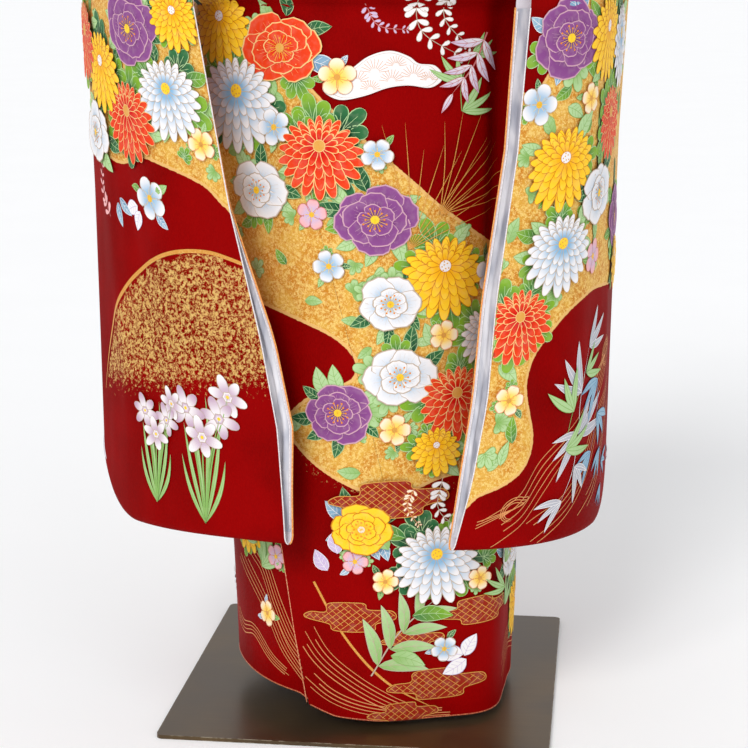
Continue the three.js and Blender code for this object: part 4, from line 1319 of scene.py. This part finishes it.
    def grass(self, s, z, size, angle, colour, leaf, count=9, spread=1.3):
        """A fan of thin blades, each a little bent."""
        self.start(s, z, size)
        for k in range(count):
            off = k / (count - 1) - 0.5
            way = angle + off * spread
            reach = size * self.random.uniform(0.75, 1.05)
            self.ribbon([(s, z), polar(s, z, 0.5 * reach, way), polar(s, z, reach, way + 0.10 * off)],
                        0.9, colour, leaf, taper=True, steps=3)

    # ----- clouds, waves and lattices -----
    def pine_cloud(self, s, z, size, colour, line):
        """A long rounded clump of pine, edged twice in gold, with fans of needles."""
        self.start(s, z, size * 1.4)
        outline = smooth_curve(np.array(PINE_CLUMP) * size + (s, z), 5, closed=True)
        outline = np.vstack([outline, outline[:1]])
        middle = np.array([s, z + 0.05 * size])
        share = np.array([0, 0.15, 0.3, 0.45, 0.6, 0.75, 0.88, 0.895, 0.91, 0.925, 0.985, 1.0])[:, None, None]
        grid = middle + (outline[None] - middle) * share
        gilded = np.isin(np.arange(12), (8, 11))[:, None, None]
        tint = np.where(gilded, line, colour) * np.ones((12, len(outline), 1))
        self.patch(grid[..., 0], grid[..., 1], tint)
        self.above()
        for x, y, reach in PINE_FANS:
            for k in range(11):
                way = math.pi * (0.04 + 0.92 * k / 10)
                needle = [polar(s + x * size, z + y * size, share * reach * size, way) for share in (0.3, 1)]
                self.ribbon(needle, 0.45, INK["salmon"], 0.3, steps=3)

    def waves(self, points, count, gap):
        """A bundle of parallel flowing lines that close up towards their end."""
        path = smooth_curve(points, 6)
        along = np.gradient(path, axis=0)
        along /= np.linalg.norm(along, axis=1, keepdims=True)
        out = np.stack([-along[:, 1], along[:, 0]], axis=1)
        self.start(*path[len(path) // 2], 8)
        fan = np.linspace(1.25, 0.6, len(path))[:, None]
        for k in range(count):
            line = path + out * (k - count / 2) * gap * fan
            skip = self.random.randrange(0, 4)
            self.ribbon(line[skip::2], self.random.uniform(0.8, 1.3), INK["salmon"], 0.2, steps=2)

    def curl(self, s, z, size, angle):
        """Three lines of a wave that roll over together."""
        self.start(s, z, size / 3)
        for k in range(3):
            sweep = np.linspace(0, 1, 12)
            way = angle + 0.3 + 4.4 * sweep
            reach = size * (0.5 - 0.085 * k) * (1 - 0.62 * sweep)
            tail_s, tail_z = polar(s, z, -size, angle)
            roll = zip(s + reach * np.cos(way), z + reach * np.sin(way))
            self.ribbon([(tail_s, tail_z + 4.0 * k), *roll], 1.0, INK["salmon"], 0.2, taper=True, steps=1)

    def lattice(self, s, z, size, colour, line, pitch=8.0):
        """A small stepped cloud of diamond lattice."""
        outline = np.array(LATTICE_CLOUD) * size + (s, z)
        reach = np.abs(outline - (s, z)).max()
        self.start(s, z, reach)
        shape = smooth_curve(outline, 6, closed=True)
        middle = shape.mean(axis=0)
        share = np.linspace(0, 1, 2 + int(reach / 6))[:, None, None]
        ring = np.vstack([shape, shape[:1]])
        grid = middle + (ring[None] - middle) * share
        self.patch(grid[..., 0], grid[..., 1], colour)
        self.above(3)
        steps = np.arange(-reach, reach + 1, 2.0)
        for way in (-1, 1):
            for offset in np.arange(-2 * reach, 2 * reach, pitch):
                xs, ys = s + steps, z + way * steps * 0.8 + offset
                within = signed_distance(xs, ys, shape) > 0.6
                runs = np.flatnonzero(np.diff(np.concatenate([[0], within.astype(int), [0]])))
                for a, b in zip(runs[::2], runs[1::2]):
                    if b - a > 1:
                        self.ribbon(np.stack([xs[a:b], ys[a:b]], axis=1)[::max(1, (b - a) // 3)], 0.7, line,
                                    0.8, steps=1)
        self.above()
        edge = np.vstack([shape, shape[:2]])
        self.ribbon(edge[::2], 1.0, line, 0.8, steps=2)

    def build(self, name, material):
        """All the motifs as one mesh that lies just over the cloth."""
        s, z, colours, leaf, lift = [], [], [], [], []
        faces, first = [], 0
        for patch_s, patch_z, colour, gilding, level in self.patches:
            s.append(patch_s.ravel())
            z.append(patch_z.ravel())
            colours.append(colour.reshape(-1, 3))
            leaf.append(np.full(patch_s.size, float(gilding)))
            lift.append(np.full(patch_s.size, LIFT + LEVEL * level))
            rows, columns = patch_s.shape
            index = first + np.arange(rows * columns).reshape(rows, columns)
            quads = np.stack([index[:-1, :-1], index[:-1, 1:], index[1:, 1:], index[1:, :-1]], axis=-1)
            faces.append(quads.reshape(-1, 4))
            first += rows * columns
        s, z, colours, leaf, lift = [np.concatenate(values) for values in (s, z, colours, leaf, lift)]
        points = laid(self.skin, s, z, lift, self.flip)
        mesh = bpy.data.meshes.new(name)
        mesh.from_pydata((points * MM).tolist(), [], np.concatenate(faces).tolist())
        shades = mesh.attributes.new("paint", "FLOAT_COLOR", "POINT")
        opaque = np.column_stack([colours, np.ones(len(colours))])
        shades.data.foreach_set("color", opaque.astype(np.float32).ravel())
        gilt = mesh.attributes.new("leaf", "FLOAT", "POINT")
        gilt.data.foreach_set("value", leaf.astype(np.float32))
        mesh.polygons.foreach_set("use_smooth", [True] * len(mesh.polygons))
        mesh.update()
        return link(name, mesh, material)


# The inks of each motif: its root, its tips, its outline and its centre.
PETALS = {
    "red": ("deep_red", "red", "orange", "pale_gold"), "white": ("sky", "white", "taupe", "yellow"),
    "yellow": ("amber", "yellow", "ochre", "white"), "vermilion": ("red", "vermilion", "pale_gold", "gold"),
    "pink": ("lilac", "pink", "rose", "yellow"), "purple": ("plum", "purple", "mauve", "yellow"),
    "cream": ("yellow", "cream", "salmon", "gold"), "orange": ("vermilion", "brick", "gold", "gold"),
    "blush": ("white", "lilac", "rose", "yellow"), "sprig": ("light_green", "mint", "taupe", "yellow"),
}
LEAVES = {
    "dark": ("dark_green", "green", "mint"), "green": ("green", "lime", "mint"),
    "light": ("light_green", "mint", "light_green"), "mint": ("mint", "mint", "light_green"),
    "lime": ("green", "lime", "mint"), "blue": ("blue", "pale_blue", "white"),
    "grey": ("white", "grey", "white"), "snow": ("white", "white", "lilac"),
    "haze": ("lilac", "lilac", "white"),
}


def inks(table, key):
    """The colours of one row of PETALS or LEAVES."""
    return [INK[name] for name in table[key]]


LARGER = {"mum": 1.16, "peony": 1.18, "blossom": 1.1, "iris": 1.35, "pine": 1.1, "lattice": 1.3}
# Outlines for a size of 1, and where the pine's fans of needles stand and how long they are.
PINE_CLUMP = (
    (-1.45, -0.30), (-1.15, 0.05), (-0.75, 0.22), (-0.35, 0.52), (0.15, 0.66), (0.60, 0.52), (0.85, 0.34),
    (1.25, 0.28), (1.45, -0.02), (1.15, -0.26), (0.60, -0.20), (0.10, -0.26), (-0.45, -0.46), (-1.05, -0.56),
)
PINE_FANS = (
    (-1.0, -0.36, 0.26), (-0.62, -0.12, 0.3), (-0.2, 0.12, 0.34), (-0.3, -0.3, 0.24),
    (0.2, -0.1, 0.3), (0.3, 0.28, 0.26), (0.72, 0.0, 0.32), (1.1, -0.08, 0.22),
)
LATTICE_CLOUD = (
    (-1, -0.12), (-0.86, 0.02), (-0.5, 0.06), (-0.42, 0.26), (0.3, 0.30), (0.42, 0.16),
    (0.92, 0.12), (1, -0.06), (0.6, -0.16), (0.5, -0.32), (-0.3, -0.34), (-0.44, -0.2),
)


def draw(paint, table):
    """Draw a short given list: kind, s, z, size, colours and an angle in degrees."""
    for kind, s, z, size, colours, angle in table:
        way = math.radians(angle)
        size *= LARGER.get(kind, 1)
        inner, outer, line, *centre = inks(LEAVES if kind in ("leaf", "lobed", "bamboo") else PETALS, colours)
        tones = (inner, outer, line, *centre)
        if kind == "mum":
            paint.mum(s, z, size, *tones)
        elif kind == "peony":
            paint.peony(s, z, size, *tones, rings=2 if colours == "white" else 3)
        elif kind == "blossom":
            paint.blossom(s, z, size, *tones, turn=way)
        elif kind == "leaf":
            broad = 0.62 if colours in ("snow", "haze") else 0.42
            paint.leaf(s, z, size, way, size * broad, *tones, bend=size * 0.06)
        elif kind == "lobed":
            paint.lobed_leaf(s, z, size, way, *tones)
        elif kind == "bamboo":
            paint.bamboo(s, z, size, way, outer, inner)
        elif kind == "long":
            paint.long_leaves(s, z, size, way, inner, outer, line)
        elif kind == "spray":
            points = [(s, z), polar(s, z, 0.5 * size, way), polar(s, z, size, way + 0.5)]
            paint.spray(points, size * 0.17, outer, line)
        elif kind == "iris":
            stalk = min(5.0 * size, z - paint.lowest)
            for lean, share in ((-0.5, 0.8), (0.1, 0.94), (0.6, 0.66)):
                paint.blade(s + 0.3 * lean * size, z - stalk, share * stalk, 0.2 * lean, -7 * lean)
            paint.stem([(s, z - stalk), (s, z)], 1.8, INK["light_green"])
            paint.iris(s, z, size, outer, inner, line)
        elif kind == "irises":
            paint.irises(s, z, size, size * 0.2)
        elif kind == "curl":
            paint.curl(s, z, size, way)
        elif kind == "grass":
            paint.grass(s, z, size, way, outer, leaf=1.0 if colours == "cream" else 0.0)
        elif kind == "pine":
            paint.pine_cloud(s, z, size, outer, line)
        elif kind == "lattice":
            paint.lattice(s, z, size, outer, INK["gold"])


# ---------- where the motifs are, on each chart ----------
def motif_rows(text):
    """Rows of kind, s, z, size, colours and angle in degrees, which is 0 where it isn't given."""
    rows = []
    for row in text.split(","):
        kind, s, z, size, colours, *angle = row.split()
        rows.append((kind, float(s), float(z), float(size), colours, float(angle[0]) if angle else 0.0))
    return tuple(rows)


BODY_FRONT = motif_rows("""
    grass 60 600 150 cream 62, grass 96 640 130 cream 48, spray 66 905 104 white -84,
    spray 104 908 84 white -98, spray 10 884 58 blush -60, pine 30 800 42 white,
    bamboo 120 760 66 light 80, long 148 850 80 blush -120, mum -176 862 40 yellow,
    peony -88 832 46 vermilion, mum -150 774 50 white, blossom -20 800 20 cream 20,
    blossom -96 740 20 white 40, mum -40 716 42 vermilion, peony -124 664 38 white,
    blossom 24 712 17 white 60, peony 22 636 42 purple, blossom -50 640 17 pink 10,
    mum 104 574 44 yellow, blossom 170 566 22 white 20, blossom -30 580 18 white 40,
    peony 40 536 34 white, mum 166 494 34 white, blossom 104 496 17 cream, peony -20 404 38 purple,
    peony 52 448 38 white, mum 122 420 40 vermilion, blossom 46 384 18 cream, mum 96 360 26 yellow,
    blossom 164 420 20 white 30, mum 210 380 34 yellow, lattice 40 300 54 orange,
    lattice -8 150 44 orange, lattice 100 60 46 orange, lattice 150 150 40 orange,
    lattice 60 24 34 orange, lattice 70 120 30 orange, spray 104 322 80 white -96,
    spray 70 312 50 cream -110, long 20 74 128 sprig 50, leaf 44 100 46 light -20,
    leaf 70 150 50 lime -4, leaf 60 250 44 lime 150, leaf 40 236 52 light 118, leaf 96 170 34 lime 50,
    lobed 142 244 30 lime 80, lobed 158 214 24 green 20, leaf 134 92 30 snow 62, leaf 132 94 34 snow 158,
    leaf 136 88 32 snow 212, leaf -20 230 30 haze 96, leaf -34 206 30 haze 122,
    blossom 110 104 15 white 50, blossom 0 220 15 pink, mum 98 222 44 white, peony 8 262 34 yellow,
    blossom 36 196 15 cream, blossom 160 274 15 white, blossom 150 190 14 cream, peony 240 200 42 white,
    mum 286 120 36 yellow, bamboo 200 140 60 light 100
""")
BODY_UNDER = motif_rows("""
    leaf -126 196 64 light 96, leaf -130 190 56 light 112, blossom -150 300 22 white,
    mum -176 240 30 yellow, bamboo -142 190 60 light 100, blossom -112 210 15 pink,
    blossom -136 130 16 cream
""")
SLEEVE_LEFT_FRONT = motif_rows("""
    peony 56 846 44 purple, mum 142 852 44 yellow, mum 228 840 44 white, blossom 22 772 22 white,
    blossom 100 776 17 cream 30, mum 182 750 38 vermilion, mum 64 706 42 yellow, peony 146 662 40 white,
    mum 76 606 42 white, peony 250 620 40 purple, blossom 150 586 20 pink, mum 30 524 38 vermilion,
    blossom 26 430 17 cream, mum 262 570 30 yellow, leaf 40 378 34 green 100, leaf 30 352 30 mint 80,
    curl 60 292 44 white 20, curl 226 452 46 white 30, bamboo 150 372 104 grey 84,
    bamboo 196 430 88 blue 268, bamboo 146 374 80 grey 262, bamboo 124 358 92 light 72,
    bamboo 228 340 60 blue 300, mum 120 1060 46 white, peony 210 1130 44 vermilion,
    mum 60 1180 40 yellow
""")
SLEEVE_RIGHT_FRONT = motif_rows("""
    peony 112 852 46 purple, mum 30 872 32 yellow, mum 60 780 42 white, mum 138 750 42 vermilion,
    mum 196 806 42 yellow, peony 232 722 38 white, blossom 22 722 18 cream, mum 262 840 42 vermilion,
    blossom 120 652 24 white, leaf 150 640 30 snow -20, leaf 146 634 28 snow -60,
    spray 220 620 84 pink 60, leaf 196 640 30 blue 262, leaf 190 646 30 blue 222,
    irises 110 262 140 white, irises 186 276 112 white, mum 110 1080 46 cream,
    peony 200 1140 44 vermilion, mum 60 1200 38 yellow
""")
SHOULDERS = {
    "front": motif_rows("mum 52 1190 34 white, peony 46 1290 34 vermilion, blossom 92 1240 17 cream"),
    "back": motif_rows("mum 50 1180 36 yellow, peony 52 1280 34 purple, blossom 96 1220 17 white"),
}
# Water lines: the path of the middle one, how many, and their spacing.
STEMS = {
    "front": (
        ([(-66, 132), (-40, 96), (0, 66), (44, 40), (84, 22)], 5, 6.0),
        ([(-62, 70), (-30, 48), (10, 34), (60, 26), (120, 22)], 4, 5.0),
        ([(196, 50), (240, 84), (330, 66), (430, 104), (520, 92), (610, 84), (700, 124), (800, 100),
          (872, 116)], 6, 6.0),
        ([(560, 240), (620, 190), (690, 170), (770, 190), (850, 168)], 4, 6.0),
    ),
    "under": (
        ([(-210, 268), (-170, 218), (-138, 192), (-114, 150), (-88, 106), (-62, 80)], 5, 6.0),
        ([(-200, 196), (-156, 160), (-124, 128), (-100, 92), (-70, 60)], 4, 6.0),
        ([(-250, 120), (-210, 96), (-170, 100), (-130, 76), (-96, 60)], 4, 5.0),
    ),
    "left": (
        ([(24, 268), (70, 300), (104, 350), (150, 384), (196, 420), (240, 486)], 5, 8.0),
        ([(92, 264), (140, 290), (176, 326), (206, 380), (262, 424)], 5, 7.0),
        ([(176, 272), (216, 300), (240, 352), (276, 392)], 3, 8.0),
    ),
}
# What stands on the red of the other sides, each with its size as a share of the spacing.
RED_KINDS = {"spray": 0.8, "grass": 1.0, "bamboo": 0.6, "blossom": 0.2, "long": 0.6, "iris": 0.2}
GOLD_KINDS = ("mum", "mum", "peony", "blossom", "mum", "peony")


def depth_in(cloud, s, z):
    """How far inside the gold a single place lies; negative on the red."""
    return float(cloud(np.array([s]), np.array([z]))[0])


def foliage(paint, table, cloud):
    """Leaves behind each large flower, and small ones around the small flowers."""
    draws = paint.random
    for kind, s, z, size, colours, _ in table:
        if kind not in ("mum", "peony", "blossom"):
            continue
        on_gold = depth_in(cloud, s, z) > 0
        count = {"mum": 7, "peony": 8, "blossom": 3}[kind]
        spin = draws.random() * FULL
        for k in range(count):
            way = spin + FULL * k / count + draws.uniform(-0.35, 0.35)
            at = polar(s, z, size * draws.uniform(0.6, 0.85), way)
            if not on_gold:
                tone = draws.choice(("light", "green", "blue", "dark"))
            elif kind == "peony":
                tone = draws.choice(("dark", "dark", "mint", "mint", "light", "lime"))
            else:
                tone = draws.choice(("green", "light", "mint", "lime", "dark"))
            reach = max(15, size * draws.uniform(0.65, 1.0))
            if kind == "mum" and draws.random() < 0.55:
                paint.lobed_leaf(*at, reach * 1.05, way, *inks(LEAVES, "dark" if tone == "dark" else "green"))
            elif tone in ("lime", "light", "green") and draws.random() < 0.6:
                paint.lobed_leaf(*at, reach * 0.8, way, *inks(LEAVES, tone))
            else:
                paint.leaf(*at, reach, way + draws.uniform(-0.5, 0.5), reach * 0.52,
                           *inks(LEAVES, tone), bend=reach * 0.06)


def scattered(draws, span, levels, pitch, stray):
    """Places on a grid over the chart, each moved at random by up to that share of the pitch."""
    for z in np.arange(*levels, pitch):
        for s in np.arange(*span, pitch):
            at_s = s + draws.uniform(-stray, stray) * pitch
            at_z = z + draws.uniform(-stray, stray) * pitch
            yield at_s, at_z


def ground_leaves(paint, cloud, span, levels, pitch):
    """Pale leaves scattered over the gold, under everything else."""
    draws = paint.random
    for s, z in scattered(draws, span, levels, pitch, 0.45):
        reach = draws.uniform(0.5, 0.8) * pitch
        if draws.random() < 0.86 and depth_in(cloud, s, z) > reach * 0.6:
            tone = inks(LEAVES, draws.choice(("mint", "mint", "light", "lime", "light")))
            way = draws.uniform(0, FULL)
            if draws.random() < 0.45:
                paint.lobed_leaf(s, z, reach * 0.62, way, *tone)
            else:
                paint.leaf(s, z, reach, way, reach * 0.55, *tone, bend=reach * 0.05)


def fill(paint, cloud, span, levels, pitch):
    """A seeded scatter of flowers on the gold and of light sprays on the red, for the other sides."""
    draws = paint.random
    table = []
    for s, z in scattered(draws, span, levels, pitch, 0.3):
        depth = depth_in(cloud, s, z)
        if depth > 14:
            kind = draws.choice(GOLD_KINDS)
            size = draws.uniform(0.30, 0.42) * pitch * (0.55 if kind == "blossom" else 1)
            colours = draws.choice(("yellow", "vermilion", "white", "red", "purple", "cream", "white"))
            if kind == "peony":
                colours = draws.choice(("white", "purple", "vermilion", "pink"))
            table.append((kind, s, z, size, colours, draws.uniform(0, 360)))
        elif depth < -26 and draws.random() < 0.7:
            kind = draws.choice(tuple(RED_KINDS))
            colours = "light" if kind == "bamboo" else draws.choice(("white", "pink", "cream"))
            table.append((kind, s, z, RED_KINDS[kind] * pitch, colours, draws.uniform(40, 140)))
    return table


SLEEVE_LOWEST = 264                # motifs with stalks reach no lower on the sleeves
SHOULDER_CHART_S = 165
SHOULDER_CHART_Z = 300


def shoulder_skin(side, face):
    """The shoulder: s from its armhole edge and z along it, from the chest to the ridge."""
    shoulder = front_shoulder if face == "front" else back_shoulder

    def skin(s, z):
        share = np.clip(s / SHOULDER_CHART_S, 0.01, 0.97)
        return shoulder(side, share, np.clip((z - CHEST_Z) / SHOULDER_CHART_Z, 0.01, 0.97))

    return skin


def body_cloud(s, z):
    return body_ground(s, z)[0]


def no_cloud(s, z):
    return plain_ground(s, z)[0]


def begin(skin, flip, seed, stems, lowest=24):
    """A paint box with the water lines already drawn."""
    paint = Paint(skin, flip, seed, lowest)
    for path, count, gap in STEMS.get(stems, ()):
        paint.waves(path, count, gap)
    return paint


def compose(paint, table, cloud, name, material):
    """Leaves first, then the motifs of the table over them, as one piece."""
    foliage(paint, table, cloud)
    draw(paint, table)
    return paint.build(name, material)


def paint_body(material):
    front = begin(left_front_skin, 1, 11, "front")
    front.stem([(-52, 190), (-12, 122), (38, 66), (104, 24)], 3.0, INK["gold"], leaf=1.0)
    front.settle()
    ground_leaves(front, body_cloud, (-210, 320), (300, 890), 40)

    back = Paint(left_front_skin, 1, 12)
    scatter = fill(back, body_cloud, (330, 880), (120, 830), 76)
    back.ground = 3
    ground_leaves(back, body_cloud, (330, 880), (330, 890), 50)

    under = begin(right_front_skin, 1, 13, "under")
    under.settle()
    above = fill(under, body_cloud, (-262, -120), (380, 830), 84)
    return {
        "body": compose(front, BODY_FRONT, body_cloud, "motifs_body_front", material),
        "back": compose(back, scatter, body_cloud, "motifs_body_back", material),
        "under": compose(under, BODY_UNDER + tuple(above), body_cloud, "motifs_body_under", material),
    }


def paint_sleeve(side, layer, table, seed, material):
    ground = sleeve_ground(side, layer)

    def cloud(s, z):
        return ground(s, z)[0]

    flip = 1 if (layer == "front") == (side == "left") else -1
    skin = sleeve_skin(side, layer)
    if layer == "back":
        paint = Paint(skin, flip, seed + 10, SLEEVE_LOWEST)
        table = fill(paint, cloud, (40, 300), (330, 1240), 92)
    else:
        paint = begin(skin, flip, seed, side, SLEEVE_LOWEST)
        if side == "right":
            paint.stem(ARCH_LINE[:-6:3], 4.6, INK["gold"], leaf=1.0)
        paint.settle()
        ground_leaves(paint, cloud, (10, 300), (330, 1010), 42)
    return compose(paint, table, cloud, f"motifs_sleeve_{side}_{layer}", material)


def paint_motifs(material):
    """All the painted pieces: the body's three, and the front and back of each sleeve and shoulder."""
    pieces = paint_body(material)
    for side, table, seed in (("left", SLEEVE_LEFT_FRONT, 21), ("right", SLEEVE_RIGHT_FRONT, 22)):
        for layer in LAYERS:
            pieces[side + "_" + layer] = paint_sleeve(side, layer, table, seed, material)
        for face in LAYERS:
            flip = 1 if (face == "front") != (side == "left") else -1
            paint = Paint(shoulder_skin(side, face), flip, seed + (40 if face == "back" else 30))
            name = f"motifs_shoulder_{side}_{face}"
            pieces[f"{side}_shoulder_{face}"] = compose(paint, SHOULDERS[face], no_cloud, name, material)
    return pieces


# ---------- the rolled hems ----------
HEM_ROLL_RISE = 0.6
HEM_ROLL_RADIUS = 1.1


def hem_roll(side, turns, inset, swell_z, cord):
    """The rolled lower edge of a body panel, a little over its hem line."""
    z = HEM.read("z", turns) + HEM_ROLL_RISE
    line = body_point(turns, z, HEM_ROLL_RISE + inset - body_swell(turns, z if swell_z is None else swell_z))
    return tube("hem_roll_" + side, line, HEM_ROLL_RADIUS, cord)


# ---------- the pieces ----------
silk = silk_material()
painted = painted_material()
satin = lining_material()
orange_cord = cord_material("orange_gold_piping", (226, 128, 52), (240, 176, 96))
white_cord = cord_material("white_piping", (214, 206, 208), (240, 236, 236))
hem_cord = cord_material("pale_hem_roll", (150, 40, 22), (206, 120, 70))

panels = {side: body_panel(side, silk) for side in SIDES}
overlaps = {side: overlap_panel(side, silk) for side in SIDES}
sleeves = {side: sleeve_shell(side, silk) for side in SIDES}
linings = {side: sleeve_lining(side, satin) for side in SIDES}
ribbed = ribbed_silk_material()
collar_piece = collar_band(ribbed)
sash_piece = sash_band(ribbed)

pipings = {}
for side in SIDES:
    sleeve = SLEEVES[side]
    heights = np.arange(268, 880, 8.0)
    lining_line = sleeve.point("back", 1.4 / sleeve.width(heights), heights, -2.6)
    pipings[side] = [
        tube("piping_front_" + side, sleeve_edge(side, "front", -0.2), 0.75, white_cord),
        tube("piping_back_" + side, sleeve_edge(side, "back", -0.6), 1.15, orange_cord),
        tube("piping_lining_" + side, lining_line, 0.8, white_cord),
    ]

left_turns = np.linspace(BODY.read("free", 15) + 0.6, 97, 60)
right_turns = np.linspace(-83, 36, 60)
hems = {
    "left": hem_roll("left", left_turns, 0.0, np.float64(15), hem_cord),
    "right": hem_roll("right", right_turns, under_inset(right_turns, 15.0), None, hem_cord),
}
edge_z = np.arange(31.0, 880, 8.0)
edge_turn = BODY.read("free", edge_z) - 0.12
free_edge = tube("free_edge_left", body_point(edge_turn, edge_z, 0.4 - body_swell(edge_turn, edge_z)), 0.7,
                 cord_material("folded_edge", (196, 84, 52), (232, 168, 120)))

motifs = paint_motifs(painted)

# ---------- the CAD garment parts hidden, and each new piece attached to the root ---
for side in SIDES:
    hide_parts("body_" + side)
    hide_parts("okumi_" + side)
    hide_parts("sleeve_" + side)
    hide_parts("sleeve_lining_" + side)
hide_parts("collar")
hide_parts("sash")
silks = [*panels.values(), *overlaps.values(), *sleeves.values()]
for piece in (*silks, *linings.values(), collar_piece, sash_piece, *hems.values(), free_edge,
              *pipings["left"], *pipings["right"], *motifs.values()):
    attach(piece, "root")
slots = {"silk": silks, "lining": linings.values(), "sash_silk": (collar_piece, sash_piece)}
for slot_name, pieces in slots.items():
    for piece in pieces:
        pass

over = {"left": [motifs["body"], motifs["back"]], "right": [motifs["under"]]}
for side in SIDES:
    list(over[side])
    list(pipings[side])

# ---------- the form and its stand, kept from the CAD ----------
finishes = {"base_plate": plate_material(), "pole": steel_material(), "torso": jersey_material()}
finishes["sleeve_bar_left"] = finishes["sleeve_bar_right"] = finishes["pole"]
for node, material in finishes.items():
    body = bpy.data.objects[node]
    body.data.materials.clear()
    body.data.materials.append(material)
rounding = bpy.data.objects["base_plate"].modifiers.new("rounded_edges", "BEVEL")
rounding.width = 0.0009
rounding.segments = 3
rounding.limit_method = "ANGLE"
rounding.harden_normals = True

# ---------- studio: a pale floor, a soft key from the front left and a fill ----------
bpy.ops.mesh.primitive_plane_add(size=60)
floor = bpy.context.object
floor.name = "floor"
floor_nodes = Nodes("studio_floor", 0.7)
floor.data.materials.append(floor_nodes.finish(
    floor_nodes.mix(floor_nodes.noise(3, 2.0), (0.95, 0.95, 0.95), (0.98, 0.98, 0.98))))

world = bpy.data.worlds.new("world")
world.use_nodes = True
background = world.node_tree.nodes["Background"]
background.inputs["Color"].default_value = (0.97, 0.98, 1.0, 1.0)
background.inputs["Strength"].default_value = 0.72
scene.world = world


def soft_light(name, place, strength, spread):
    """A broad lamp, far away, that shines from that direction on the garment."""
    data = bpy.data.lights.new(name, "SUN")
    data.angle = math.radians(spread)
    data.energy = strength
    lamp = bpy.data.objects.new(name, data)
    lamp.location = place
    lamp.rotation_euler = (Vector((0, 0, 0.6)) - Vector(place)).to_track_quat("-Z", "Y").to_euler()
    scene.collection.objects.link(lamp)


soft_light("key", (-1.1, -3.2, 3.2), 1.5, 25)
soft_light("fill", (2.6, -2.4, 2.2), 0.35, 50)
